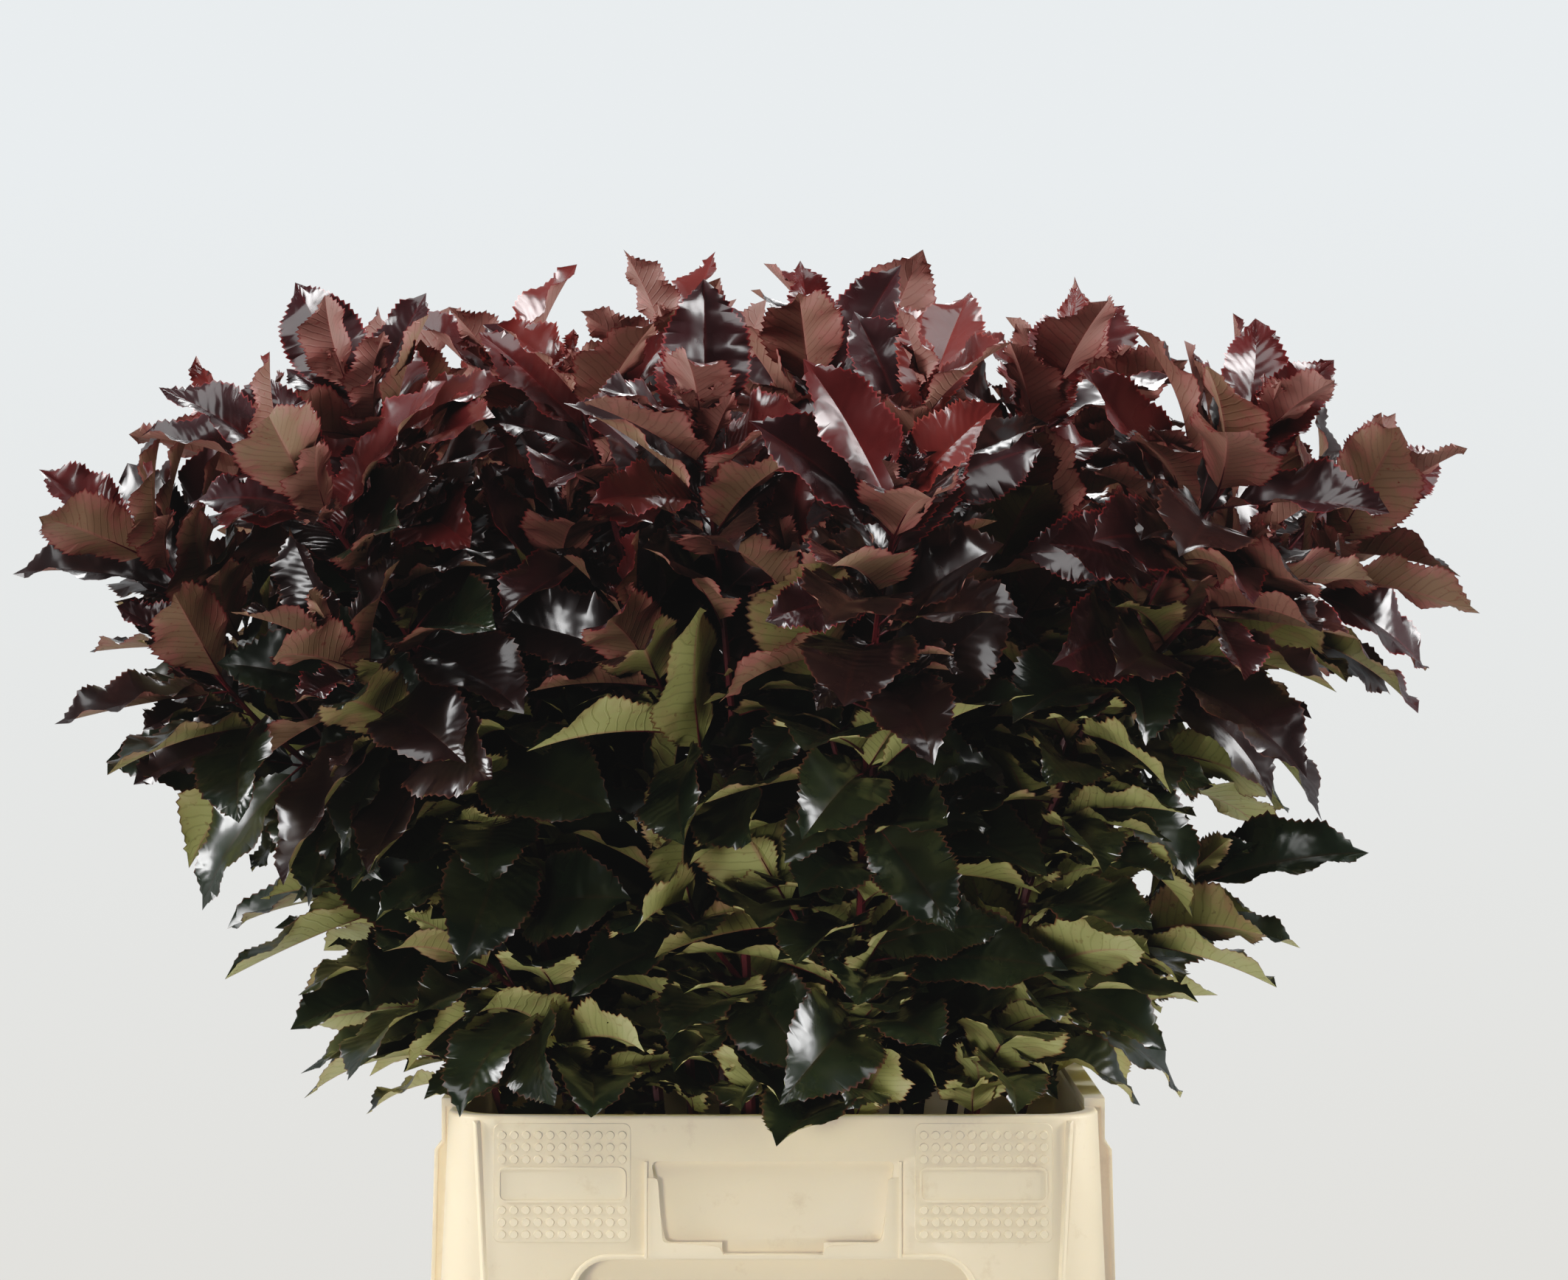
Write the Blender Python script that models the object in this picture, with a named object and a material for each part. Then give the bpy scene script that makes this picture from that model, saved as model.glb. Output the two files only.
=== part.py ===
"""Cut stems of red tip photinia standing in a cream flower bucket.

Metres, +Z up. The origin is the middle of the bucket's flat underside. +X runs along the bucket's
long side, and -Y points to the side that carries the label holder seen in front.
"""

import math
import random

import bmesh
import bpy
from mathutils import Matrix, Quaternion, Vector
from mathutils.bvhtree import BVHTree

CLEARANCE = 0.0003

# Bucket: a tapered tub, and round its top a rim from which a skirt hangs
BUCKET_HEIGHT = 0.300
RIM_LENGTH = 0.389
RIM_DEPTH = 0.289
RIM_BAND = 0.0085
RIM_CORNER = 0.026
INNER_RIM_CORNER = 0.0215
RIM_ROUND = 0.0015
WALL = 0.0025
FLOOR_LENGTH = 0.328
FLOOR_DEPTH = 0.228
FLOOR_CORNER = 0.034
FLOOR_THICKNESS = 0.004
FOOT_BEVEL = 0.004
SKIRT_DROP = 0.130
SKIRT_FLARE = 0.0055
SKIRT_SPLIT = 0.118
CORNER_STEPS = 3
ARCH_STEPS = 4

# Hand holes and label holder in the skirt's long sides, measured down from the rim
ARCH_WIDTH = 0.234
ARCH_TOP = 0.085
ARCH_CORNER = 0.020
HOLDER_TOP = 0.027
HOLDER_BOTTOM = 0.082
HOLDER_TOP_WIDTH = 0.144
HOLDER_BOTTOM_WIDTH = 0.128
HOLDER_DEPTH = 0.006
HOLDER_LIP_HEIGHT = 0.0075
HOLDER_LIP_GAP = 0.060
HOLDER_LIP_SLOT = 0.0044
CUT_DEPTH = 0.022

# Grip panels on the skirt's short sides
GRIP_HALF_WIDTH = 0.100
GRIP_OPENING_HALF_WIDTH = 0.092
GRIP_OPENING_TOP = 0.032
GRIP_RISE = 0.005
GRIP_STAND_OUT = 0.0052
GRIP_BULGE = 0.0095
GRIP_BULGE_DROP = 0.021
GRIP_BULGE_STEP = 0.005

# Bunch of stems
STEM_COUNT = 26
STEM_FOOT_RADIUS = 0.0042
STEM_JOINT_RADIUS = 0.0034
STEM_TIP_RADIUS = 0.0013
SHOOT_FOOT_RADIUS = 0.0019
STEM_SIDES = 6
JOINT_DEPTH = 0.014
AXIS_STEPS = 5
SHOOT_STEPS = 3
PLAN_SQUARENESS = 2.6
FOOT_SPREAD = (0.100, 0.062)
RIM_SPREAD = (0.176, 0.126)
TIP_SPREAD = (0.396, 0.345)
TIP_HEIGHT = 0.456
TIP_FALL = 0.104
TIP_FALL_POWER = 2.6
TIP_LEAN = math.radians(50)
TIP_JITTER = 0.016

# Side shoots: one high on each stem, and a short low one on each outer stem
HIGH_SHOOT = {"share": (0.42, 0.62), "length": (0.120, 0.185), "opening": (26, 40)}
LOW_SHOOT = {"share": (0.07, 0.24), "length": (0.060, 0.095), "opening": (38, 62)}
LOW_SHOOT_FROM = 0.66
SHOOT_TRIES = 24
AXIS_GAP = 0.004

# Leaves
LEAF_LENGTH = 0.120
YOUNG_LEAF_LENGTH = 0.070
LEAF_WIDTH_RATIO = 0.52
LEAF_TIP_TAPER = 0.55
LEAF_RIPPLE = 0.0045
LEAF_THICKNESS = 0.0012
PETIOLE_SHARE = 0.10
LEAF_STATIONS = (0.34, 0.72)
LEAF_MIDDLE = 0.50
BARE_LENGTH = (0.310, 0.012)
SHOOT_BARE_LENGTH = 0.024
TIP_GAP = 0.004
TIP_INTERNODE = 0.0142
INTERNODE = (0.034, 0.0230)
LEAF_TURN = math.radians(144)
LEAF_TRIES = 12
LEAF_CLEARANCE = 0.0005

# How leaves stand: they open with age, which is a distance from the tip, and arch out more low down
AGE_LENGTH = 0.060
YOUNG_LENGTH = 0.028
YOUNG_OPENING = 16
AGED_OPENING = 36
LOW_ARCH = 0.25
LOW_REACH = 0.150
HANG_LIMIT = 0.012
OPENING_SPREAD = (8, 24)
OUTWARD_TURN = 0.5
FULL_EXPOSURE = 0.25
SKYWARD = 0.15

SEED = "photinia"


class Axis:
    """A woody axis: a line of points from its foot to its tip, with a radius that tapers along it."""

    def __init__(self, points, foot_radius, tip_radius):
        self.points = points
        self.radii = (foot_radius, tip_radius)
        self.reach = [0.0]
        for a, b in zip(points, points[1:]):
            self.reach.append(self.reach[-1] + (b - a).length)

    @property
    def length(self):
        return self.reach[-1]

    def at(self, distance):
        """The point at this distance from the foot, and the direction there."""
        index = 0
        while index < len(self.points) - 2 and self.reach[index + 1] < distance:
            index += 1
        a, b = self.points[index], self.points[index + 1]
        direction = (b - a).normalized()
        return a + direction * (distance - self.reach[index]), direction

    def radius(self, distance):
        foot, tip = self.radii
        return foot + (tip - foot) * distance / self.length


class Leaf:
    """A leaf blade on its stalk. place() gives any point of it, so one rule shapes every version of it."""

    def __init__(self, root, direction, normal, length, arch, twist, fold, width, waves):
        self.root = root
        self.direction = direction
        self.normal = normal
        self.side = direction.cross(normal)
        self.stalk = length * PETIOLE_SHARE
        self.length = length - self.stalk
        self.half_width = length * width / 2
        self.arch = arch
        self.twist = twist
        self.fold = fold
        self.waves = waves

    def spine(self, t):
        """Point on the midrib at share t of the blade, with the blade's side and normal there."""
        angle = self.arch * t
        if abs(self.arch) < 1e-3:
            along, down = self.length * t, 0.0
        else:
            radius = self.length / self.arch
            along, down = radius * math.sin(angle), radius * (1 - math.cos(angle))
        point = self.root + self.direction * (self.stalk + along) - self.normal * down
        normal = self.normal * math.cos(angle) + self.direction * math.sin(angle)
        turn = self.twist * t
        side = self.side * math.cos(turn) + normal * math.sin(turn)
        return point, side, normal * math.cos(turn) - self.side * math.sin(turn)

    def ripple(self, t, across):
        """How far the wavy edge of the blade lifts off its fold."""
        count, first, second = self.waves
        start = first if across < 0 else second
        return LEAF_RIPPLE * across * across * math.sin(2 * math.pi * (count * t + start))

    def place(self, t, across, lift=0.0, grow=0.0):
        """Point at share t along the blade and across it, from -1 to 1, lifted off its surface."""
        point, side, normal = self.spine(t)
        reach = abs(across) * (self.half_width * blade_profile(t) + grow)
        outward = side * math.copysign(math.cos(self.fold), across) + normal * math.sin(self.fold)
        return point + outward * reach + normal * (lift + self.ripple(t, across))


def blade_profile(t):
    """Half width of an elliptic blade with a drawn-out tip, as a share of its widest."""
    t = min(max(t, 0.0), 1.0)
    return math.sin(math.pi * t**0.92) ** 0.8 * (1 - LEAF_TIP_TAPER * t**8)


def bezier(a, b, c, d, steps):
    """Points on the cubic curve through a and d, pulled by b and c."""
    points = []
    for i in range(steps + 1):
        t = i / steps
        s = 1 - t
        points.append(a * s**3 + b * (3 * s * s * t) + c * (3 * s * t * t) + d * t**3)
    return points


def squared_disk(share, angle, half_x, half_y):
    """A point of a plan between an ellipse and a rectangle, at this share of the way out."""
    cosine, sine = math.cos(angle), math.sin(angle)
    power = PLAN_SQUARENESS
    reach = share / (abs(cosine) ** power + abs(sine) ** power) ** (1 / power)
    return reach * cosine * half_x, reach * sine * half_y


def stem_share(number):
    """How far out from the bunch's middle a stem stands, from 0 to 1."""
    return math.sqrt((number + 0.5) / STEM_COUNT)


def stem_lines(number):
    """Foot, joint and upper line of one cut stem. It stands on the bucket's floor and leans on its rim."""
    dice = random.Random(f"{SEED} stem {number}")
    share = stem_share(number)
    angle = number * math.radians(137.508) + dice.uniform(-0.12, 0.12)
    foot = Vector((*squared_disk(share, angle, *FOOT_SPREAD), FLOOR_THICKNESS))
    rim = Vector((*squared_disk(share, angle, *RIM_SPREAD), BUCKET_HEIGHT))
    lean = (rim - foot).normalized()
    foot.z += CLEARANCE + STEM_FOOT_RADIUS * math.hypot(lean.x, lean.y)
    height = TIP_HEIGHT - TIP_FALL * share**TIP_FALL_POWER + dice.uniform(-TIP_JITTER, TIP_JITTER)
    swing = dice.uniform(-0.10, 0.10)
    tip = Vector((*squared_disk(share, angle + swing, *TIP_SPREAD), BUCKET_HEIGHT + height))
    joint = foot + lean * ((BUCKET_HEIGHT - JOINT_DEPTH - foot.z) / lean.z)
    outward = Vector((tip.x, tip.y, 0)).normalized()
    tip_lean = share * TIP_LEAN
    heading = outward * math.sin(tip_lean) + Vector((0, 0, math.cos(tip_lean)))
    start = joint + lean * CLEARANCE
    pull = (tip - start).length * 0.38
    upper = bezier(start, start + lean * pull, tip - heading * pull, tip, AXIS_STEPS)
    return foot, joint, upper


def polyline_gap(first, second):
    """Least distance between the lines of two axes, from points a few millimetres apart."""
    step = 0.008
    points = [first.at(step * i)[0] for i in range(int(first.length / step) + 1)]
    least = 1.0
    for i in range(int(second.length / step) + 1):
        here = second.at(step * i)[0]
        least = min(least, min((here - p).length for p in points))
    return least


def side_shoot(parent, kind, dice, others):
    """A side shoot that keeps clear of the bucket and the other axes, or None where no try does."""
    for _ in range(SHOOT_TRIES):
        root, along = parent.at(parent.length * dice.uniform(*kind["share"]))
        opening = math.radians(dice.uniform(*kind["opening"]))
        across = along.orthogonal().normalized()
        across.rotate(Quaternion(along, dice.uniform(0, 2 * math.pi)))
        heading = (along * math.cos(opening) + across * math.sin(opening)).normalized()
        length = dice.uniform(*kind["length"])
        rise = (heading + Vector((0, 0, 0.6)) + along * 0.4).normalized()
        tip = root + heading * (length * 0.5) + rise * (length * 0.5)
        points = bezier(root, root + heading * length * 0.35, tip - rise * length * 0.35, tip, SHOOT_STEPS)
        shoot = Axis(points, SHOOT_FOOT_RADIUS, STEM_TIP_RADIUS)
        free_part = Axis(points[1:], SHOOT_FOOT_RADIUS, STEM_TIP_RADIUS)
        needed = AXIS_GAP + 2 * SHOOT_FOOT_RADIUS
        if any(meets_bucket(point) for point in points):
            continue
        if all(polyline_gap(free_part, other) > needed for other in others):
            return shoot
    return None


def grow_axes():
    """For each stem its lower limb and, for each mass of foliage, its axes: the stem's own and its shoots."""
    lower, upper = [], []
    for number in range(STEM_COUNT):
        foot, joint, line = stem_lines(number)
        lower.append(Axis([foot, joint], STEM_FOOT_RADIUS, STEM_JOINT_RADIUS))
        upper.append([Axis(line, STEM_JOINT_RADIUS, STEM_TIP_RADIUS)])
    for name, kind, least_share in (("high", HIGH_SHOOT, 0.0), ("low", LOW_SHOOT, LOW_SHOOT_FROM)):
        for number, axes in enumerate(upper):
            if stem_share(number) < least_share:
                continue
            others = [axis for mass in upper for axis in mass]
            shoot = side_shoot(axes[0], kind, random.Random(f"{SEED} {name} shoot {number}"), others)
            if shoot:
                axes.append(shoot)
    return lower, upper


def leaf_on(axis, distance, azimuth, dice, slack):
    """One leaf on an axis. slack is 0 for the leaf's own pose and grows as tries move it off that."""
    root, along = axis.at(distance)
    from_tip = axis.length - distance
    age = 1 - math.exp(-from_tip / AGE_LENGTH)
    height = root.z - BUCKET_HEIGHT
    lowness = min(1.0, max(0.0, 1 - height / LOW_REACH))
    opening = YOUNG_OPENING + AGED_OPENING * age
    spread = OPENING_SPREAD[0] + OPENING_SPREAD[1] * age
    opening = math.radians(opening + dice.uniform(-spread, spread) * (1 + 0.5 * slack))
    outward = Vector((root.x, root.y, 0))
    exposure = min(1.0, outward.length / FULL_EXPOSURE)
    azimuth += dice.uniform(-0.25, 0.25) * (1 + 3 * slack)
    azimuth -= OUTWARD_TURN * exposure * age * math.sin(azimuth)
    across = (outward - along * outward.dot(along)).normalized()
    across.rotate(Quaternion(along, azimuth))
    direction = (along * math.cos(opening) + across * math.sin(opening)).normalized()
    face = along - direction * along.dot(direction)
    sky = Vector((0, 0, 1))
    sky -= direction * sky.dot(direction)
    normal = (face.normalized() * (1 - SKYWARD) + sky * SKYWARD).normalized()
    normal.rotate(Quaternion(direction, dice.uniform(-0.45, 0.45) * (1 + 1.5 * slack)))
    young = math.exp(-from_tip / YOUNG_LENGTH) * min(1.0, max(0.0, (height - 0.12) / 0.15))
    length = LEAF_LENGTH + (YOUNG_LEAF_LENGTH - LEAF_LENGTH) * young
    length *= dice.uniform(0.84, 1.12) * (1 - 0.16 * slack)
    arch = dice.uniform(0.1, 0.4) + age * dice.uniform(0.0, 0.8) + LOW_ARCH * lowness
    twist = dice.uniform(-0.55, 0.55)
    fold = math.radians(dice.uniform(22, 36) - 14 * age)
    width = LEAF_WIDTH_RATIO * dice.uniform(0.90, 1.08)
    waves = (dice.uniform(2.2, 3.4), dice.random(), dice.random())
    return Leaf(root, direction, normal, length, arch, twist, fold, width, waves)


def in_plan(point, half_x, half_y, corner):
    """Whether a point is inside a rounded rectangle about the origin, seen from above."""
    dx = abs(point.x) - (half_x - corner)
    dy = abs(point.y) - (half_y - corner)
    if dx <= 0 or dy <= 0:
        return dx <= corner and dy <= corner
    return math.hypot(dx, dy) <= corner


def meets_bucket(point, margin=0.003):
    """Whether a point is in or too near the bucket's walls, rim, skirt or grips, or hangs far below its rim."""
    if point.z > BUCKET_HEIGHT + GRIP_RISE + margin:
        return False
    half_x = RIM_LENGTH / 2 - RIM_BAND - margin
    half_y = RIM_DEPTH / 2 - RIM_BAND - margin
    if in_plan(point, half_x, half_y, RIM_CORNER):
        return point.z < BUCKET_HEIGHT - 0.045
    outer_x = RIM_LENGTH / 2 + GRIP_BULGE + SKIRT_FLARE + margin
    outer_y = RIM_DEPTH / 2 + SKIRT_FLARE + margin
    if not in_plan(point, outer_x, outer_y, RIM_CORNER):
        return point.z < BUCKET_HEIGHT - HANG_LIMIT
    near_grip = abs(point.y) < GRIP_HALF_WIDTH + margin and abs(point.x) > RIM_LENGTH / 2 - 0.012
    top = BUCKET_HEIGHT + (GRIP_RISE if near_grip else 0.0)
    return point.z < top + margin


def leaf_meets_bucket(leaf):
    """Whether any of a leaf's sample points meets the bucket."""
    for i in range(1, 9):
        for across in (-1, -0.5, 0, 0.5, 1):
            if meets_bucket(leaf.place(i / 8, across)):
                return True
    return False


def leaf_shell(leaf, grow=0.0):
    """Points and faces of a thin solid leaf: root, tip, two points on each edge, two on the midrib."""
    low, high = LEAF_STATIONS
    half_thickness = LEAF_THICKNESS / 2 + grow
    points = [
        leaf.root.copy(),
        leaf.place(low, -1, grow=grow),
        leaf.place(high, -1, grow=grow),
        leaf.place(1, 0),
        leaf.place(high, 1, grow=grow),
        leaf.place(low, 1, grow=grow),
        leaf.place(LEAF_MIDDLE, 0, lift=half_thickness),
        leaf.place(LEAF_MIDDLE, 0, lift=-half_thickness),
    ]
    faces = []
    for i in range(6):
        after = (i + 1) % 6
        faces.append((i, after, 6))
        faces.append((after, i, 7))
    return points, faces


class Space:
    """What is already placed, so that a new leaf can keep clear of it."""

    def __init__(self):
        self.items = []

    def add(self, owner, points, faces, blade=None):
        """Keep a solid, and the blade it has if it is a leaf. Its owner is the mass that it is part of."""
        low, high = bounds_of(points)
        tree = BVHTree.FromPolygons(points, faces)
        self.items.append((owner, low, high, tree, blade))

    def meets(self, owner, points, faces, blade):
        """Whether a new leaf meets another mass, or whether its blade meets its own mass."""
        low, high = bounds_of(points)
        whole = BVHTree.FromPolygons(points, faces)
        for other, other_low, other_high, tree, other_blade in self.items:
            if any(low[i] > other_high[i] or high[i] < other_low[i] for i in range(3)):
                continue
            if other != owner and whole.overlap(tree):
                return True
            if other == owner and blade.overlap(tree):
                return True
            if other == owner and other_blade and whole.overlap(other_blade):
                return True
        return False


def bounds_of(points):
    low = [min(p[i] for p in points) for i in range(3)]
    high = [max(p[i] for p in points) for i in range(3)]
    return low, high


def tube_shell(axis, sides, steps):
    """Points and faces of a plain tube round an axis, to test leaves against."""
    points, faces = [], []
    for i in range(steps + 1):
        distance = axis.length * i / steps
        centre, along = axis.at(distance)
        across = along.orthogonal().normalized()
        for j in range(sides):
            arm = across.copy()
            arm.rotate(Quaternion(along, 2 * math.pi * j / sides))
            points.append(centre + arm * (axis.radius(distance) + LEAF_CLEARANCE))
    for i in range(steps):
        for j in range(sides):
            a, b = i * sides + j, i * sides + (j + 1) % sides
            faces.append((a, b, b + sides))
            faces.append((a, b + sides, a + sides))
    return points, faces


def blade_only(leaf):
    """A thin open sheet of a leaf's blade without its stalk, to test the leaves of one mass."""
    stations = (0.14, 0.34, 0.70, 0.97)
    points = [leaf.place(t, across) for t in stations for across in (-1, 0, 1)]
    faces = []
    for i in range(len(stations) - 1):
        for j in range(2):
            a = 3 * i + j
            faces.append((a, a + 1, a + 4))
            faces.append((a, a + 4, a + 3))
    return points, faces


def leaf_distances(axis, share, is_shoot):
    """Distances from an axis's foot at which its leaves sit, from the tip downwards.

    share says how far out the stem stands. Outer stems bear leaves down to the rim, inner ones higher up.
    """
    outer = min(1.0, max(0.0, (share - 0.35) / 0.4))
    bare = SHOOT_BARE_LENGTH if is_shoot else BARE_LENGTH[0] + (BARE_LENGTH[1] - BARE_LENGTH[0]) * outer
    step = INTERNODE[0] + (INTERNODE[1] - INTERNODE[0]) * outer
    distances = []
    from_tip = TIP_GAP
    while from_tip < axis.length - bare:
        distances.append(axis.length - from_tip)
        from_tip += TIP_INTERNODE + (step - TIP_INTERNODE) * min(1.0, from_tip / 0.07)
    return distances


def grow_leaves(lower, upper):
    """The leaves of every mass, dealt out in rounds from the tips down, so that no mass crowds another."""
    space = Space()
    for axis in lower:
        space.add(None, *tube_shell(axis, 6, 2))
    for number, axes in enumerate(upper):
        for axis in axes:
            space.add(number, *tube_shell(axis, 4, AXIS_STEPS))
    waiting = []
    for number, axes in enumerate(upper):
        share = stem_share(number)
        for order, axis in enumerate(axes):
            for place, distance in enumerate(leaf_distances(axis, share, order > 0)):
                waiting.append((place, number, order, distance))
    masses = [[] for _ in upper]
    for place, number, order, distance in sorted(waiting):
        dice = random.Random(f"{SEED} leaf {number} {order} {place}")
        azimuth = (number * 1.7 + order) + place * LEAF_TURN
        for attempt in range(LEAF_TRIES):
            slack = attempt / LEAF_TRIES
            leaf = leaf_on(upper[number][order], distance, azimuth, dice, slack)
            if leaf_meets_bucket(leaf):
                continue
            points, faces = leaf_shell(leaf, LEAF_CLEARANCE)
            blade = BVHTree.FromPolygons(*blade_only(leaf))
            if space.meets(number, points, faces, blade):
                continue
            space.add(number, points, faces, blade)
            masses[number].append(leaf)
            break
    return masses


def clear_scene():
    for obj in list(bpy.data.objects):
        bpy.data.objects.remove(obj, do_unlink=True)


def new_collection(name):
    collection = bpy.data.collections.new(name)
    bpy.context.scene.collection.children.link(collection)
    return collection


def make_material(name, colour, roughness, metallic=0.0):
    material = bpy.data.materials.new(name)
    material.use_nodes = True
    shader = material.node_tree.nodes["Principled BSDF"]
    shader.inputs["Base Color"].default_value = (*colour, 1.0)
    shader.inputs["Roughness"].default_value = roughness
    shader.inputs["Metallic"].default_value = metallic
    return material


def mesh_object(name, points, faces, collection):
    """A mesh object with outward faces, from worked-out points."""
    mesh = bpy.data.meshes.new(name)
    mesh.from_pydata([tuple(p) for p in points], [], faces)
    edit = bmesh.new()
    edit.from_mesh(mesh)
    bmesh.ops.recalc_face_normals(edit, faces=edit.faces)
    edit.to_mesh(mesh)
    edit.free()
    obj = bpy.data.objects.new(name, mesh)
    collection.objects.link(obj)
    return obj


def as_helper(obj):
    obj.hide_render = True
    obj.display_type = "WIRE"
    return obj


def rounded_ring(half_x, half_y, corner, z):
    """Points of a rounded rectangle about the origin at height z, anticlockwise from above."""
    points = []
    for quarter, (sx, sy) in enumerate(((1, 1), (-1, 1), (-1, -1), (1, -1))):
        centre = Vector((sx * (half_x - corner), sy * (half_y - corner), z))
        for i in range(CORNER_STEPS + 1):
            angle = (quarter + i / CORNER_STEPS) * math.pi / 2
            points.append(centre + Vector((math.cos(angle), math.sin(angle), 0)) * corner)
    return points


def tub_rings():
    """Cross-sections of the tub, from the inside of its floor over the top of its wall to the underside."""
    rim_x, rim_y = RIM_LENGTH / 2, RIM_DEPTH / 2
    floor_x, floor_y = FLOOR_LENGTH / 2, FLOOR_DEPTH / 2
    outer = RIM_BAND - WALL
    return [
        rounded_ring(floor_x - WALL, floor_y - WALL, FLOOR_CORNER - WALL, FLOOR_THICKNESS),
        rounded_ring(rim_x - RIM_BAND, rim_y - RIM_BAND, INNER_RIM_CORNER, BUCKET_HEIGHT),
        rounded_ring(rim_x - outer, rim_y - outer, INNER_RIM_CORNER + WALL, BUCKET_HEIGHT),
        rounded_ring(floor_x, floor_y, FLOOR_CORNER, FOOT_BEVEL),
        rounded_ring(floor_x - FOOT_BEVEL, floor_y - FOOT_BEVEL, FLOOR_CORNER - FOOT_BEVEL, 0.0),
    ]


def skirt_rings():
    """Cross-sections round the wall of the rim and skirt, from the rim's inner edge over its top and back."""
    rim_x, rim_y = RIM_LENGTH / 2, RIM_DEPTH / 2
    top, under_rim, end = BUCKET_HEIGHT, BUCKET_HEIGHT - WALL, BUCKET_HEIGHT - SKIRT_DROP
    inner = RIM_BAND - WALL - CLEARANCE
    inner_corner = INNER_RIM_CORNER + WALL + CLEARANCE
    flare = SKIRT_FLARE
    return [
        rounded_ring(rim_x - inner, rim_y - inner, inner_corner, top),
        rounded_ring(rim_x - RIM_ROUND, rim_y - RIM_ROUND, RIM_CORNER - RIM_ROUND, top),
        rounded_ring(rim_x, rim_y, RIM_CORNER, top - RIM_ROUND),
        rounded_ring(rim_x + flare, rim_y + flare, RIM_CORNER + flare, end),
        rounded_ring(rim_x + flare - WALL, rim_y + flare - WALL, RIM_CORNER + flare - WALL, end),
        rounded_ring(rim_x - WALL, rim_y - WALL, RIM_CORNER - WALL, under_rim),
        rounded_ring(rim_x - inner, rim_y - inner, inner_corner, under_rim),
    ]


def skirt_face(z):
    """How far out the skirt's outer face stands on the long sides at height z."""
    share = (BUCKET_HEIGHT - RIM_ROUND - z) / (SKIRT_DROP - RIM_ROUND)
    return RIM_DEPTH / 2 + SKIRT_FLARE * share


def loft(name, rings, collection, is_ring=False):
    """A closed solid through unlike rings of as many points: with flat caps, or back to its first ring."""
    count = len(rings[0])
    points = [point for ring in rings for point in ring]
    faces = []
    levels = len(rings) if is_ring else len(rings) - 1
    for level in range(levels):
        low, high = level * count, (level + 1) % len(rings) * count
        for i in range(count):
            after = (i + 1) % count
            faces.append((low + i, low + after, high + after, high + i))
    if not is_ring:
        faces.append(tuple(range(count)))
        faces.append(tuple(range(len(points) - count, len(points))))
    return mesh_object(name, points, faces, collection)


def outline_prism(name, outline, thickness, collection):
    """A flat outline in X and Z, closed and extruded along Y about the origin, as a mesh."""
    curve = bpy.data.curves.new(name, "CURVE")
    curve.dimensions = "2D"
    curve.fill_mode = "BOTH"
    curve.extrude = thickness / 2
    spline = curve.splines.new("POLY")
    spline.points.add(len(outline) - 1)
    for point, (x, z) in zip(spline.points, outline):
        point.co = (x, z, 0, 1)
    spline.use_cyclic_u = True
    guide = bpy.data.objects.new(name, curve)
    collection.objects.link(guide)
    guide.matrix_world = Matrix.Rotation(math.pi / 2, 4, "X")
    bpy.context.view_layer.update()
    graph = bpy.context.evaluated_depsgraph_get()
    mesh = bpy.data.meshes.new_from_object(guide.evaluated_get(graph))
    mesh.transform(guide.matrix_world)
    bpy.data.objects.remove(guide)
    edit = bmesh.new()
    edit.from_mesh(mesh)
    bmesh.ops.remove_doubles(edit, verts=edit.verts, dist=1e-5)
    bmesh.ops.recalc_face_normals(edit, faces=edit.faces)
    edit.to_mesh(mesh)
    edit.free()
    obj = bpy.data.objects.new(name, mesh)
    collection.objects.link(obj)
    return obj


def box(name, low, high, collection):
    """A box between two corners, from a unit cube."""
    mesh = bpy.data.meshes.new(name)
    edit = bmesh.new()
    bmesh.ops.create_cube(edit, size=1.0)
    low, high = Vector(low), Vector(high)
    bmesh.ops.scale(edit, vec=high - low, verts=edit.verts)
    bmesh.ops.translate(edit, vec=(low + high) / 2, verts=edit.verts)
    edit.to_mesh(mesh)
    edit.free()
    obj = bpy.data.objects.new(name, mesh)
    collection.objects.link(obj)
    return obj


def arch_outline():
    """Outline of a hand hole: straight sides that run down past the skirt and round top corners."""
    half, top = ARCH_WIDTH / 2, BUCKET_HEIGHT - ARCH_TOP
    bottom = BUCKET_HEIGHT - SKIRT_DROP - CUT_DEPTH / 2
    outline = [(-half, bottom), (half, bottom)]
    for side, turn in ((1, 0.0), (-1, math.pi / 2)):
        for i in range(ARCH_STEPS + 1):
            angle = turn + i / ARCH_STEPS * math.pi / 2
            x = side * (half - ARCH_CORNER) + ARCH_CORNER * math.cos(angle)
            outline.append((x, top - ARCH_CORNER + ARCH_CORNER * math.sin(angle)))
    return outline


def holder_outline():
    """Outline of the label holder: a pocket narrower at its foot, with a step in each lower corner."""
    top, bottom = BUCKET_HEIGHT - HOLDER_TOP, BUCKET_HEIGHT - HOLDER_BOTTOM
    lip = bottom + HOLDER_LIP_HEIGHT
    right_half = [
        (HOLDER_LIP_GAP / 2, bottom),
        (HOLDER_LIP_GAP / 2, lip),
        (HOLDER_BOTTOM_WIDTH / 2, lip),
        (HOLDER_TOP_WIDTH / 2, top),
    ]
    return right_half + [(-x, z) for x, z in reversed(right_half)]


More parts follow.
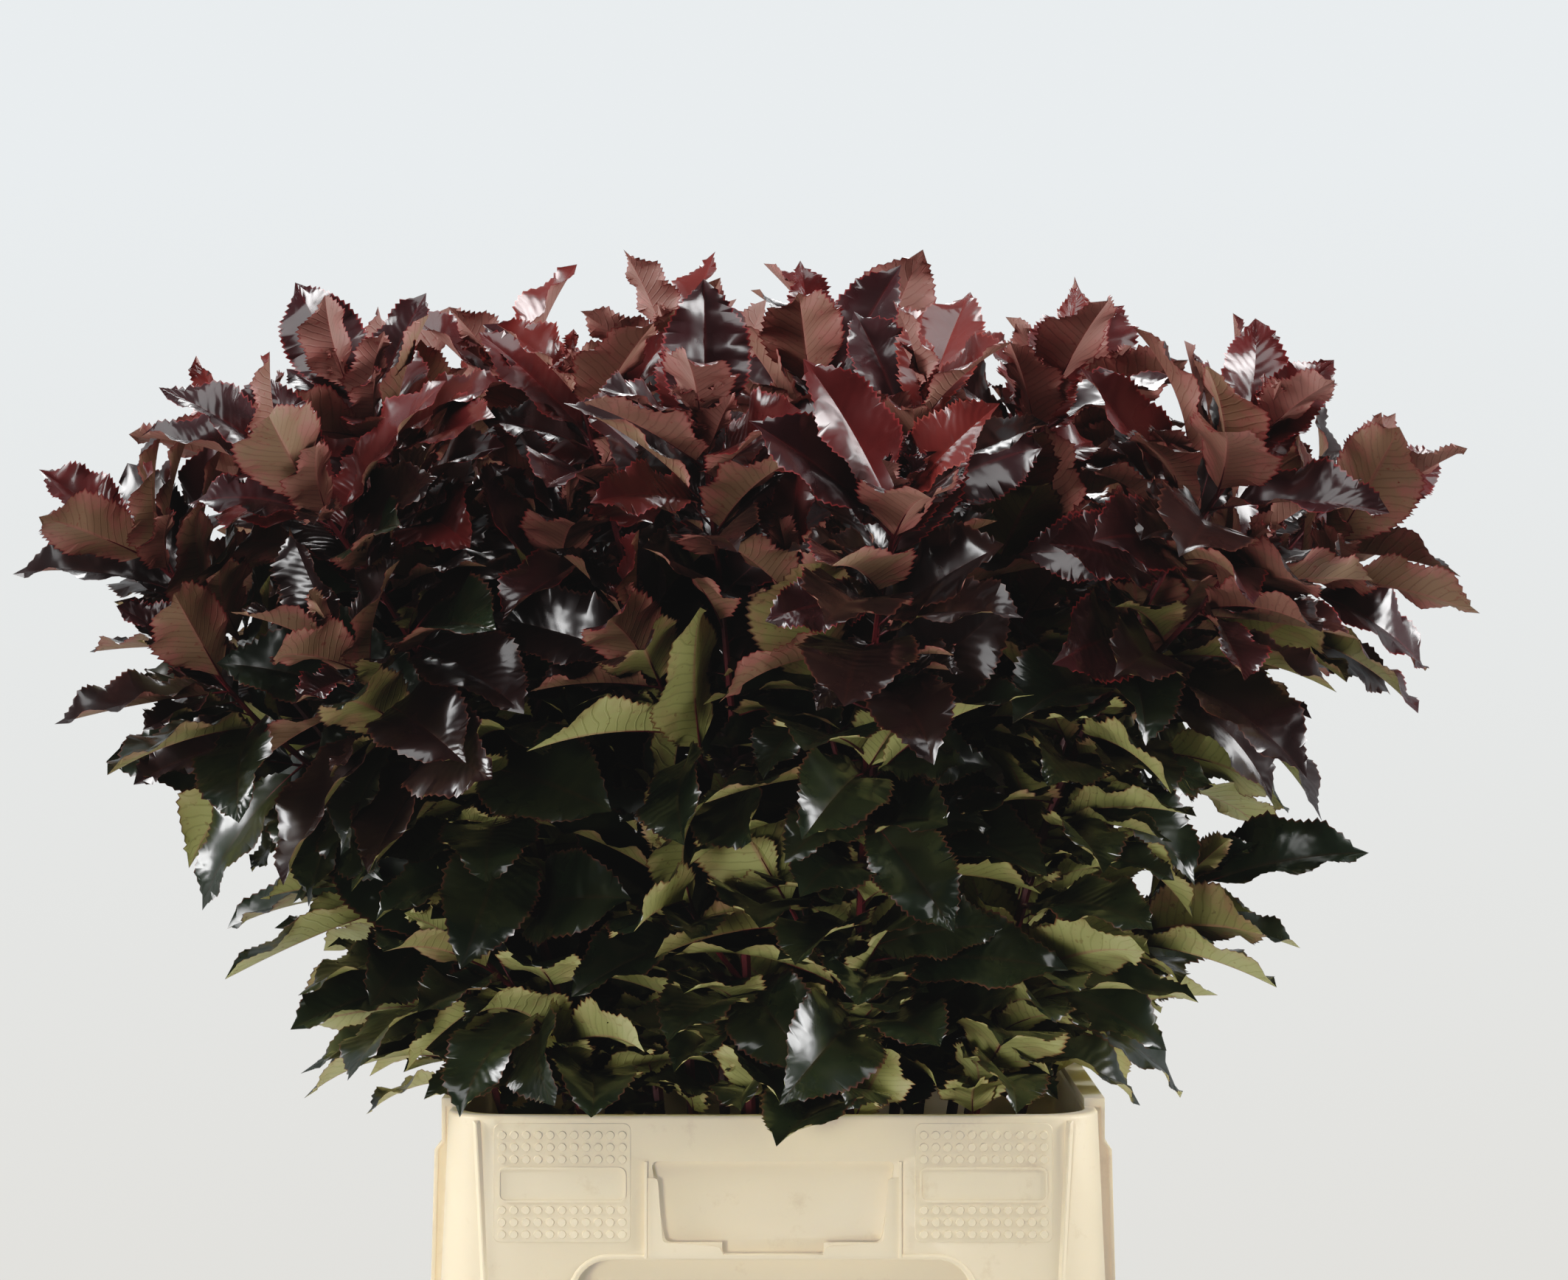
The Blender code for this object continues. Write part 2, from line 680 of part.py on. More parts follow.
def grip_outline():
    """Section of a grip panel across the bucket's short side, in X and Z: a wall that bulges out below."""
    edge = RIM_LENGTH / 2
    root = edge - RIM_BAND + WALL + CLEARANCE
    out, far = edge + GRIP_STAND_OUT, edge + GRIP_BULGE
    end = far + SKIRT_FLARE / 2
    top, shelf = BUCKET_HEIGHT + GRIP_RISE, BUCKET_HEIGHT - 2 * WALL
    bulge, foot = BUCKET_HEIGHT - GRIP_BULGE_DROP, BUCKET_HEIGHT - SKIRT_DROP
    return [
        (root, top),
        (out, top),
        (out, bulge),
        (far, bulge - GRIP_BULGE_STEP),
        (end, foot),
        (end - WALL, foot),
        (far - WALL, bulge - GRIP_BULGE_STEP - WALL / 2),
        (out - WALL, bulge - WALL / 2),
        (out - WALL, shelf),
        (root, shelf),
    ]


def add_boolean(target, operation, collection):
    """A Boolean modifier that joins, cuts or crops a target with every object of a collection."""
    modifier = target.modifiers.new(operation.lower(), "BOOLEAN")
    modifier.operation = operation
    modifier.operand_type = "COLLECTION"
    modifier.collection = collection
    return modifier


def place_on_side(pieces, side):
    """Turns guides made for the back or right side half way round when side is -1."""
    for piece in pieces:
        if side < 0:
            piece.matrix_world = Matrix.Rotation(math.pi, 4, "Z") @ piece.matrix_world
        as_helper(piece)


def make_long_side(name, side, parts):
    """Skirt of a long side with its corners, and a window for the label holder above its hand hole."""
    crop, cuts = new_collection(name + "_crop"), new_collection(name + "_cuts")
    skirt = loft(name, skirt_rings(), parts, is_ring=True)
    reach = RIM_LENGTH
    half = HOLDER_TOP_WIDTH / 2 + WALL + CLEARANCE
    end = BUCKET_HEIGHT - SKIRT_DROP - CUT_DEPTH
    middle = RIM_DEPTH / 2 + SKIRT_FLARE / 2
    half_block = box("half", (-reach, SKIRT_SPLIT + CLEARANCE / 2, 0), (reach, reach, reach), crop)
    window = box(
        "holder_window",
        (-half, middle - CUT_DEPTH / 2, end),
        (half, middle + CUT_DEPTH / 2, BUCKET_HEIGHT - HOLDER_TOP + WALL + CLEARANCE),
        cuts,
    )
    arch = outline_prism("hand_hole", arch_outline(), CUT_DEPTH, cuts)
    arch.matrix_world = Matrix.Translation((0, middle, 0)) @ arch.matrix_world
    place_on_side((half_block, window, arch), side)
    add_boolean(skirt, "INTERSECT", crop)
    add_boolean(skirt, "DIFFERENCE", cuts)
    return skirt


def make_short_side(name, side, parts):
    """Skirt of a short side, cut away behind its grip panel, which stands up past the rim and bulges out."""
    crop, cuts = new_collection(name + "_crop"), new_collection(name + "_cuts")
    joined = new_collection(name + "_grip")
    skirt = loft(name, skirt_rings(), parts, is_ring=True)
    reach = RIM_LENGTH
    split = SKIRT_SPLIT - CLEARANCE / 2
    half_block = box("half", (0, -split, 0), (reach, split, reach), crop)
    edge = RIM_LENGTH / 2
    opening = box(
        "grip_opening",
        (edge - CUT_DEPTH / 2, -GRIP_OPENING_HALF_WIDTH, BUCKET_HEIGHT - SKIRT_DROP - CUT_DEPTH),
        (edge + CUT_DEPTH, GRIP_OPENING_HALF_WIDTH, BUCKET_HEIGHT - GRIP_OPENING_TOP),
        cuts,
    )
    grip = outline_prism("grip_panel", grip_outline(), 2 * GRIP_HALF_WIDTH, joined)
    place_on_side((half_block, opening, grip), side)
    add_boolean(skirt, "INTERSECT", crop)
    add_boolean(skirt, "DIFFERENCE", cuts)
    add_boolean(skirt, "UNION", joined)
    return skirt


def make_label_holder(name, side, parts):
    """A label holder: a shallow tray in the skirt's window, with a lip for the card's lower edge."""
    cuts = new_collection(name + "_cuts")
    half = HOLDER_TOP_WIDTH / 2 + WALL
    top, bottom = BUCKET_HEIGHT - HOLDER_TOP, BUCKET_HEIGHT - HOLDER_BOTTOM
    back = RIM_DEPTH / 2 - HOLDER_DEPTH - WALL / 2
    tray = box(name, (-half, back, bottom - WALL), (half, RIM_DEPTH / 2, top + WALL), parts)
    for vert in tray.data.vertices:
        if vert.co.y > (back + RIM_DEPTH / 2) / 2:
            vert.co.y = skirt_face(vert.co.z)
    if side < 0:
        tray.data.transform(Matrix.Rotation(math.pi, 4, "Z"))
    pocket = outline_prism("holder_pocket", holder_outline(), CUT_DEPTH, cuts)
    pocket.matrix_world = Matrix.Translation((0, back + WALL + CUT_DEPTH / 2, 0)) @ pocket.matrix_world
    slot = box(
        "holder_slot",
        (-HOLDER_BOTTOM_WIDTH / 2, back + WALL, bottom),
        (HOLDER_BOTTOM_WIDTH / 2, back + HOLDER_LIP_SLOT + WALL / 2, bottom + HOLDER_LIP_HEIGHT + CLEARANCE),
        cuts,
    )
    place_on_side((pocket, slot), side)
    add_boolean(tray, "DIFFERENCE", cuts)
    return tray


def make_bucket(parts):
    """The bucket's solids: its tub, the four sides of its rim and skirt, and its two label holders."""
    pieces = [loft("bucket", tub_rings(), parts)]
    for side, word in ((1, "back"), (-1, "front")):
        pieces.append(make_long_side(f"skirt_{word}", side, parts))
        pieces.append(make_label_holder(f"label_holder_{word}", side, parts))
    for side, word in ((1, "right"), (-1, "left")):
        pieces.append(make_short_side(f"skirt_{word}", side, parts))
    return pieces


def make_stem(name, axis, collection):
    """The bare lower limb of a stem: a tapered cone from its flat cut to just under the rim."""
    mesh = bpy.data.meshes.new(name)
    edit = bmesh.new()
    foot, tip = axis.radii
    bmesh.ops.create_cone(
        edit, cap_ends=True, segments=STEM_SIDES, radius1=foot, radius2=tip, depth=axis.length
    )
    edit.to_mesh(mesh)
    edit.free()
    obj = bpy.data.objects.new(name, mesh)
    start, end = axis.points[0], axis.points[-1]
    turn = (end - start).to_track_quat("Z", "Y").to_matrix().to_4x4()
    obj.matrix_world = Matrix.Translation((start + end) / 2) @ turn
    collection.objects.link(obj)
    mesh.shade_smooth()
    mesh.set_sharp_from_angle(angle=math.radians(50))
    return obj


def triangle_profile(collection):
    """A three-sided bevel outline, one unit across, for twigs."""
    curve = bpy.data.curves.new("twig_profile", "CURVE")
    curve.dimensions = "2D"
    spline = curve.splines.new("POLY")
    spline.points.add(2)
    for i, point in enumerate(spline.points):
        angle = i * 2 * math.pi / 3
        point.co = (math.cos(angle), math.sin(angle), 0, 1)
    spline.use_cyclic_u = True
    profile = bpy.data.objects.new("twig_profile", curve)
    collection.objects.link(profile)
    return as_helper(profile)


def twig_mesh(name, axis, profile, collection):
    """A three-sided tapering twig along an axis, as a welded mesh."""
    curve = bpy.data.curves.new(name, "CURVE")
    curve.dimensions = "3D"
    curve.bevel_mode = "OBJECT"
    curve.bevel_object = profile
    curve.use_fill_caps = True
    spline = curve.splines.new("POLY")
    spline.points.add(len(axis.points) - 1)
    for point, place, reach in zip(spline.points, axis.points, axis.reach):
        point.co = (*place, 1)
        point.radius = axis.radius(reach)
    guide = bpy.data.objects.new(name, curve)
    collection.objects.link(guide)
    bpy.context.view_layer.update()
    graph = bpy.context.evaluated_depsgraph_get()
    mesh = bpy.data.meshes.new_from_object(guide.evaluated_get(graph))
    bpy.data.objects.remove(guide)
    edit = bmesh.new()
    edit.from_mesh(mesh)
    bmesh.ops.remove_doubles(edit, verts=edit.verts, dist=1e-5)
    bmesh.ops.recalc_face_normals(edit, faces=edit.faces)
    edit.to_mesh(mesh)
    edit.free()
    obj = bpy.data.objects.new(name, mesh)
    collection.objects.link(obj)
    return obj


def largest_body(mesh):
    """Drops any loose scrap that a union left, so that the mesh is one body."""
    edit = bmesh.new()
    edit.from_mesh(mesh)
    left = set(edit.verts)
    bodies = []
    while left:
        stack = [left.pop()]
        body = set(stack)
        while stack:
            for edge in stack.pop().link_edges:
                for vert in edge.verts:
                    if vert in left:
                        left.discard(vert)
                        body.add(vert)
                        stack.append(vert)
        bodies.append(body)
    keep = max(bodies, key=len)
    scraps = [vert for body in bodies if body is not keep for vert in body]
    bmesh.ops.delete(edit, geom=scraps, context="VERTS")
    edit.to_mesh(mesh)
    edit.free()


def make_mass(name, axes, leaves, profile, parts):
    """One mass of foliage: a stem with its side shoots and leaves, fused into one solid."""
    pieces = new_collection(name + "_pieces")
    base = twig_mesh(name, axes[0], profile, parts)
    for axis in axes[1:]:
        twig_mesh("shoot", axis, profile, pieces)
    for leaf in leaves:
        mesh_object("leaf", *leaf_shell(leaf), pieces)
    add_boolean(base, "UNION", pieces)
    bpy.context.view_layer.update()
    graph = bpy.context.evaluated_depsgraph_get()
    fused = bpy.data.meshes.new_from_object(base.evaluated_get(graph))
    base.modifiers.clear()
    base.data = fused
    largest_body(fused)
    for piece in list(pieces.objects):
        bpy.data.objects.remove(piece, do_unlink=True)
    bpy.data.collections.remove(pieces)
    return base


def main():
    clear_scene()
    parts = new_collection("red_tip_photinia")
    helpers = new_collection("guides")
    plastic = make_material("cream_polypropylene", (0.80, 0.68, 0.47), 0.42)
    bark = make_material("photinia_bark", (0.09, 0.022, 0.020), 0.55)
    foliage = make_material("photinia_leaves", (0.060, 0.016, 0.014), 0.35)
    for piece in make_bucket(parts):
        piece.data.materials.append(plastic)
    profile = triangle_profile(helpers)
    lower, upper = grow_axes()
    masses = grow_leaves(lower, upper)
    for number, axis in enumerate(lower, start=1):
        make_stem(f"stem_{number:02d}", axis, parts).data.materials.append(bark)
    for number, (axes, leaves) in enumerate(zip(upper, masses), start=1):
        mass = make_mass(f"foliage_{number:02d}", axes, leaves, profile, parts)
        mass.data.materials.clear()
        mass.data.materials.append(foliage)
    bpy.data.objects.remove(profile)


main()
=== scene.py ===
"""Cut red tip photinia stems in a cream flower bucket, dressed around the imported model.

The layout is that of an add-on: settings, one operator for each group of pieces, and a panel.
Metres, +Z up, with the origin in the middle of the bucket's underside.
"""

import math
import random

import bmesh
import bpy
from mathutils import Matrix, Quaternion, Vector
from mathutils.bvhtree import BVHTree


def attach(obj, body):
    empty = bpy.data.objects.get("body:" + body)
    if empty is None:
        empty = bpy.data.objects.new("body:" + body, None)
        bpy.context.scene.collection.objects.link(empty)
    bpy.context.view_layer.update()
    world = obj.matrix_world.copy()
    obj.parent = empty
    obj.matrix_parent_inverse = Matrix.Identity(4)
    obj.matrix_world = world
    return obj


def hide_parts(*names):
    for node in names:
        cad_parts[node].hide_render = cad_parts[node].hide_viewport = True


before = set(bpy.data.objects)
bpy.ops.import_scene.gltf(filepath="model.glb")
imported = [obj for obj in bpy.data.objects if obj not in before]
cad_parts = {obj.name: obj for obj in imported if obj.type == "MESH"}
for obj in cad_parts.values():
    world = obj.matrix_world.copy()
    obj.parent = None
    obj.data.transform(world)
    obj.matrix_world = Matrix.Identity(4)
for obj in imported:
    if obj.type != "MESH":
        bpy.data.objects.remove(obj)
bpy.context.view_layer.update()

bl_info = {
    "name": "Red tip photinia bunch",
    "version": (1, 0, 0),
    "blender": (4, 5, 0),
    "location": "3D View > Sidebar > Photinia",
    "description": "Cut red tip photinia stems in a cream flower bucket",
    "category": "Object",
}

CLEARANCE = 0.0003

# Bucket: a tapered tub, and round its top a rim from which a skirt hangs
BUCKET_HEIGHT = 0.300
RIM_LENGTH = 0.389
RIM_DEPTH = 0.289
RIM_BAND = 0.0085
RIM_CORNER = 0.026
INNER_RIM_CORNER = 0.0215
RIM_ROUND = 0.0015
WALL = 0.0025
FLOOR_LENGTH = 0.328
FLOOR_DEPTH = 0.228
FLOOR_CORNER = 0.034
FLOOR_THICKNESS = 0.004
FOOT_BEVEL = 0.004
SKIRT_DROP = 0.130
SKIRT_FLARE = 0.0055
SKIRT_SPLIT = 0.118
CORNER_STEPS = 3
ARCH_STEPS = 4

# Hand holes and label holder in the skirt's long sides, measured down from the rim
ARCH_WIDTH = 0.234
ARCH_TOP = 0.085
ARCH_CORNER = 0.020
HOLDER_TOP = 0.027
HOLDER_BOTTOM = 0.082
HOLDER_TOP_WIDTH = 0.144
HOLDER_BOTTOM_WIDTH = 0.128
HOLDER_DEPTH = 0.006
HOLDER_LIP_HEIGHT = 0.0075
HOLDER_LIP_GAP = 0.060
HOLDER_LIP_SLOT = 0.0044
CUT_DEPTH = 0.022

# Grip panels on the skirt's short sides
GRIP_HALF_WIDTH = 0.100
GRIP_OPENING_HALF_WIDTH = 0.092
GRIP_OPENING_TOP = 0.032
GRIP_RISE = 0.005
GRIP_STAND_OUT = 0.0052
GRIP_BULGE = 0.0095
GRIP_BULGE_DROP = 0.021
GRIP_BULGE_STEP = 0.005

# Bunch of stems
STEM_COUNT = 26
STEM_FOOT_RADIUS = 0.0042
STEM_JOINT_RADIUS = 0.0034
STEM_TIP_RADIUS = 0.0013
SHOOT_FOOT_RADIUS = 0.0019
STEM_SIDES = 6
JOINT_DEPTH = 0.014
AXIS_STEPS = 5
SHOOT_STEPS = 3
PLAN_SQUARENESS = 2.6
FOOT_SPREAD = (0.100, 0.062)
RIM_SPREAD = (0.176, 0.126)
TIP_SPREAD = (0.396, 0.345)
TIP_HEIGHT = 0.456
TIP_FALL = 0.104
TIP_FALL_POWER = 2.6
TIP_LEAN = math.radians(50)
TIP_JITTER = 0.016

# Side shoots: one high on each stem, and a short low one on each outer stem
HIGH_SHOOT = {"share": (0.42, 0.62), "length": (0.120, 0.185), "opening": (26, 40)}
LOW_SHOOT = {"share": (0.07, 0.24), "length": (0.060, 0.095), "opening": (38, 62)}
LOW_SHOOT_FROM = 0.66
SHOOT_TRIES = 24
AXIS_GAP = 0.004

# Leaves
LEAF_LENGTH = 0.120
YOUNG_LEAF_LENGTH = 0.070
LEAF_WIDTH_RATIO = 0.52
LEAF_TIP_TAPER = 0.55
LEAF_RIPPLE = 0.0045
LEAF_THICKNESS = 0.0012
PETIOLE_SHARE = 0.10
LEAF_STATIONS = (0.34, 0.72)
LEAF_MIDDLE = 0.50
BARE_LENGTH = (0.310, 0.012)
SHOOT_BARE_LENGTH = 0.024
TIP_GAP = 0.004
TIP_INTERNODE = 0.0142
INTERNODE = (0.034, 0.0230)
LEAF_TURN = math.radians(144)
LEAF_TRIES = 12
LEAF_CLEARANCE = 0.0005

# How leaves stand: they open with age, which is a distance from the tip, and arch out more low down
AGE_LENGTH = 0.060
YOUNG_LENGTH = 0.028
YOUNG_OPENING = 16
AGED_OPENING = 36
LOW_ARCH = 0.25
LOW_REACH = 0.150
HANG_LIMIT = 0.012
OPENING_SPREAD = (8, 24)
OUTWARD_TURN = 0.5
FULL_EXPOSURE = 0.25
SKYWARD = 0.15

SEED = "photinia"


class Axis:
    """A woody axis: a line of points from its foot to its tip, with a radius that tapers along it."""

    def __init__(self, points, foot_radius, tip_radius):
        self.points = points
        self.radii = (foot_radius, tip_radius)
        self.reach = [0.0]
        for a, b in zip(points, points[1:]):
            self.reach.append(self.reach[-1] + (b - a).length)

    @property
    def length(self):
        return self.reach[-1]

    def at(self, distance):
        """The point at this distance from the foot, and the direction there."""
        index = 0
        while index < len(self.points) - 2 and self.reach[index + 1] < distance:
            index += 1
        a, b = self.points[index], self.points[index + 1]
        direction = (b - a).normalized()
        return a + direction * (distance - self.reach[index]), direction

    def radius(self, distance):
        foot, tip = self.radii
        return foot + (tip - foot) * distance / self.length


class Leaf:
    """A leaf blade on its stalk. place() gives any point of it, so one rule shapes every version of it."""

    def __init__(self, root, direction, normal, length, arch, twist, fold, width, waves):
        self.root = root
        self.direction = direction
        self.normal = normal
        self.side = direction.cross(normal)
        self.stalk = length * PETIOLE_SHARE
        self.length = length - self.stalk
        self.half_width = length * width / 2
        self.arch = arch
        self.twist = twist
        self.fold = fold
        self.waves = waves

    def spine(self, t):
        """Point on the midrib at share t of the blade, with the blade's side and normal there."""
        angle = self.arch * t
        if abs(self.arch) < 1e-3:
            along, down = self.length * t, 0.0
        else:
            radius = self.length / self.arch
            along, down = radius * math.sin(angle), radius * (1 - math.cos(angle))
        point = self.root + self.direction * (self.stalk + along) - self.normal * down
        normal = self.normal * math.cos(angle) + self.direction * math.sin(angle)
        turn = self.twist * t
        side = self.side * math.cos(turn) + normal * math.sin(turn)
        return point, side, normal * math.cos(turn) - self.side * math.sin(turn)

    def ripple(self, t, across):
        """How far the wavy edge of the blade lifts off its fold."""
        count, first, second = self.waves
        start = first if across < 0 else second
        return LEAF_RIPPLE * across * across * math.sin(2 * math.pi * (count * t + start))

    def place(self, t, across, lift=0.0, grow=0.0):
        """Point at share t along the blade and across it, from -1 to 1, lifted off its surface."""
        point, side, normal = self.spine(t)
        reach = abs(across) * (self.half_width * blade_profile(t) + grow)
        outward = side * math.copysign(math.cos(self.fold), across) + normal * math.sin(self.fold)
        return point + outward * reach + normal * (lift + self.ripple(t, across))


def blade_profile(t):
    """Half width of an elliptic blade with a drawn-out tip, as a share of its widest."""
    t = min(max(t, 0.0), 1.0)
    return math.sin(math.pi * t**0.92) ** 0.8 * (1 - LEAF_TIP_TAPER * t**8)


def bezier(a, b, c, d, steps):
    """Points on the cubic curve through a and d, pulled by b and c."""
    points = []
    for i in range(steps + 1):
        t = i / steps
        s = 1 - t
        points.append(a * s**3 + b * (3 * s * s * t) + c * (3 * s * t * t) + d * t**3)
    return points


def squared_disk(share, angle, half_x, half_y):
    """A point of a plan between an ellipse and a rectangle, at this share of the way out."""
    cosine, sine = math.cos(angle), math.sin(angle)
    power = PLAN_SQUARENESS
    reach = share / (abs(cosine) ** power + abs(sine) ** power) ** (1 / power)
    return reach * cosine * half_x, reach * sine * half_y


def stem_share(number):
    """How far out from the bunch's middle a stem stands, from 0 to 1."""
    return math.sqrt((number + 0.5) / STEM_COUNT)


def stem_lines(number):
    """Foot, joint and upper line of one cut stem. It stands on the bucket's floor and leans on its rim."""
    dice = random.Random(f"{SEED} stem {number}")
    share = stem_share(number)
    angle = number * math.radians(137.508) + dice.uniform(-0.12, 0.12)
    foot = Vector((*squared_disk(share, angle, *FOOT_SPREAD), FLOOR_THICKNESS))
    rim = Vector((*squared_disk(share, angle, *RIM_SPREAD), BUCKET_HEIGHT))
    lean = (rim - foot).normalized()
    foot.z += CLEARANCE + STEM_FOOT_RADIUS * math.hypot(lean.x, lean.y)
    height = TIP_HEIGHT - TIP_FALL * share**TIP_FALL_POWER + dice.uniform(-TIP_JITTER, TIP_JITTER)
    swing = dice.uniform(-0.10, 0.10)
    tip = Vector((*squared_disk(share, angle + swing, *TIP_SPREAD), BUCKET_HEIGHT + height))
    joint = foot + lean * ((BUCKET_HEIGHT - JOINT_DEPTH - foot.z) / lean.z)
    outward = Vector((tip.x, tip.y, 0)).normalized()
    tip_lean = share * TIP_LEAN
    heading = outward * math.sin(tip_lean) + Vector((0, 0, math.cos(tip_lean)))
    start = joint + lean * CLEARANCE
    pull = (tip - start).length * 0.38
    upper = bezier(start, start + lean * pull, tip - heading * pull, tip, AXIS_STEPS)
    return foot, joint, upper


def polyline_gap(first, second):
    """Least distance between the lines of two axes, from points a few millimetres apart."""
    step = 0.008
    points = [first.at(step * i)[0] for i in range(int(first.length / step) + 1)]
    least = 1.0
    for i in range(int(second.length / step) + 1):
        here = second.at(step * i)[0]
        least = min(least, min((here - p).length for p in points))
    return least


def side_shoot(parent, kind, dice, others):
    """A side shoot that keeps clear of the bucket and the other axes, or None where no try does."""
    for _ in range(SHOOT_TRIES):
        root, along = parent.at(parent.length * dice.uniform(*kind["share"]))
        opening = math.radians(dice.uniform(*kind["opening"]))
        across = along.orthogonal().normalized()
        across.rotate(Quaternion(along, dice.uniform(0, 2 * math.pi)))
        heading = (along * math.cos(opening) + across * math.sin(opening)).normalized()
        length = dice.uniform(*kind["length"])
        rise = (heading + Vector((0, 0, 0.6)) + along * 0.4).normalized()
        tip = root + heading * (length * 0.5) + rise * (length * 0.5)
        points = bezier(root, root + heading * length * 0.35, tip - rise * length * 0.35, tip, SHOOT_STEPS)
        shoot = Axis(points, SHOOT_FOOT_RADIUS, STEM_TIP_RADIUS)
        free_part = Axis(points[1:], SHOOT_FOOT_RADIUS, STEM_TIP_RADIUS)
        needed = AXIS_GAP + 2 * SHOOT_FOOT_RADIUS
        if any(meets_bucket(point) for point in points):
            continue
        if all(polyline_gap(free_part, other) > needed for other in others):
            return shoot
    return None


def grow_axes():
    """For each stem its lower limb and, for each mass of foliage, its axes: the stem's own and its shoots."""
    lower, upper = [], []
    for number in range(STEM_COUNT):
        foot, joint, line = stem_lines(number)
        lower.append(Axis([foot, joint], STEM_FOOT_RADIUS, STEM_JOINT_RADIUS))
        upper.append([Axis(line, STEM_JOINT_RADIUS, STEM_TIP_RADIUS)])
    for name, kind, least_share in (("high", HIGH_SHOOT, 0.0), ("low", LOW_SHOOT, LOW_SHOOT_FROM)):
        for number, axes in enumerate(upper):
            if stem_share(number) < least_share:
                continue
            others = [axis for mass in upper for axis in mass]
            shoot = side_shoot(axes[0], kind, random.Random(f"{SEED} {name} shoot {number}"), others)
            if shoot:
                axes.append(shoot)
    return lower, upper


def leaf_on(axis, distance, azimuth, dice, slack):
    """One leaf on an axis. slack is 0 for the leaf's own pose and grows as tries move it off that."""
    root, along = axis.at(distance)
    from_tip = axis.length - distance
    age = 1 - math.exp(-from_tip / AGE_LENGTH)
    height = root.z - BUCKET_HEIGHT
    lowness = min(1.0, max(0.0, 1 - height / LOW_REACH))
    opening = YOUNG_OPENING + AGED_OPENING * age
    spread = OPENING_SPREAD[0] + OPENING_SPREAD[1] * age
    opening = math.radians(opening + dice.uniform(-spread, spread) * (1 + 0.5 * slack))
    outward = Vector((root.x, root.y, 0))
    exposure = min(1.0, outward.length / FULL_EXPOSURE)
    azimuth += dice.uniform(-0.25, 0.25) * (1 + 3 * slack)
    azimuth -= OUTWARD_TURN * exposure * age * math.sin(azimuth)
    across = (outward - along * outward.dot(along)).normalized()
    across.rotate(Quaternion(along, azimuth))
    direction = (along * math.cos(opening) + across * math.sin(opening)).normalized()
    face = along - direction * along.dot(direction)
    sky = Vector((0, 0, 1))
    sky -= direction * sky.dot(direction)
    normal = (face.normalized() * (1 - SKYWARD) + sky * SKYWARD).normalized()
    normal.rotate(Quaternion(direction, dice.uniform(-0.45, 0.45) * (1 + 1.5 * slack)))
    young = math.exp(-from_tip / YOUNG_LENGTH) * min(1.0, max(0.0, (height - 0.12) / 0.15))
    length = LEAF_LENGTH + (YOUNG_LEAF_LENGTH - LEAF_LENGTH) * young
    length *= dice.uniform(0.84, 1.12) * (1 - 0.16 * slack)
    arch = dice.uniform(0.1, 0.4) + age * dice.uniform(0.0, 0.8) + LOW_ARCH * lowness
    twist = dice.uniform(-0.55, 0.55)
    fold = math.radians(dice.uniform(22, 36) - 14 * age)
    width = LEAF_WIDTH_RATIO * dice.uniform(0.90, 1.08)
    waves = (dice.uniform(2.2, 3.4), dice.random(), dice.random())
    leaf = Leaf(root, direction, normal, length, arch, twist, fold, width, waves)
    leaf.from_tip = from_tip
    return leaf


def in_plan(point, half_x, half_y, corner):
    """Whether a point is inside a rounded rectangle about the origin, seen from above."""
    dx = abs(point.x) - (half_x - corner)
    dy = abs(point.y) - (half_y - corner)
    if dx <= 0 or dy <= 0:
        return dx <= corner and dy <= corner
    return math.hypot(dx, dy) <= corner


def meets_bucket(point, margin=0.003):
    """Whether a point is in or too near the bucket's walls, rim, skirt or grips, or hangs far below its rim."""
    if point.z > BUCKET_HEIGHT + GRIP_RISE + margin:
        return False
    half_x = RIM_LENGTH / 2 - RIM_BAND - margin
    half_y = RIM_DEPTH / 2 - RIM_BAND - margin
    if in_plan(point, half_x, half_y, RIM_CORNER):
        return point.z < BUCKET_HEIGHT - 0.045
    outer_x = RIM_LENGTH / 2 + GRIP_BULGE + SKIRT_FLARE + margin
    outer_y = RIM_DEPTH / 2 + SKIRT_FLARE + margin
    if not in_plan(point, outer_x, outer_y, RIM_CORNER):
        return point.z < BUCKET_HEIGHT - HANG_LIMIT
    near_grip = abs(point.y) < GRIP_HALF_WIDTH + margin and abs(point.x) > RIM_LENGTH / 2 - 0.012
    top = BUCKET_HEIGHT + (GRIP_RISE if near_grip else 0.0)
    return point.z < top + margin


def leaf_meets_bucket(leaf):
    """Whether any of a leaf's sample points meets the bucket."""
    for i in range(1, 9):
        for across in (-1, -0.5, 0, 0.5, 1):
            if meets_bucket(leaf.place(i / 8, across)):
                return True
    return False


def leaf_shell(leaf, grow=0.0):
    """Points and faces of a thin solid leaf: root, tip, two points on each edge, two on the midrib."""
    low, high = LEAF_STATIONS
    half_thickness = LEAF_THICKNESS / 2 + grow
    points = [
        leaf.root.copy(),
        leaf.place(low, -1, grow=grow),
        leaf.place(high, -1, grow=grow),
        leaf.place(1, 0),
        leaf.place(high, 1, grow=grow),
        leaf.place(low, 1, grow=grow),
        leaf.place(LEAF_MIDDLE, 0, lift=half_thickness),
        leaf.place(LEAF_MIDDLE, 0, lift=-half_thickness),
    ]
    faces = []
    for i in range(6):
        after = (i + 1) % 6
        faces.append((i, after, 6))
        faces.append((after, i, 7))
    return points, faces


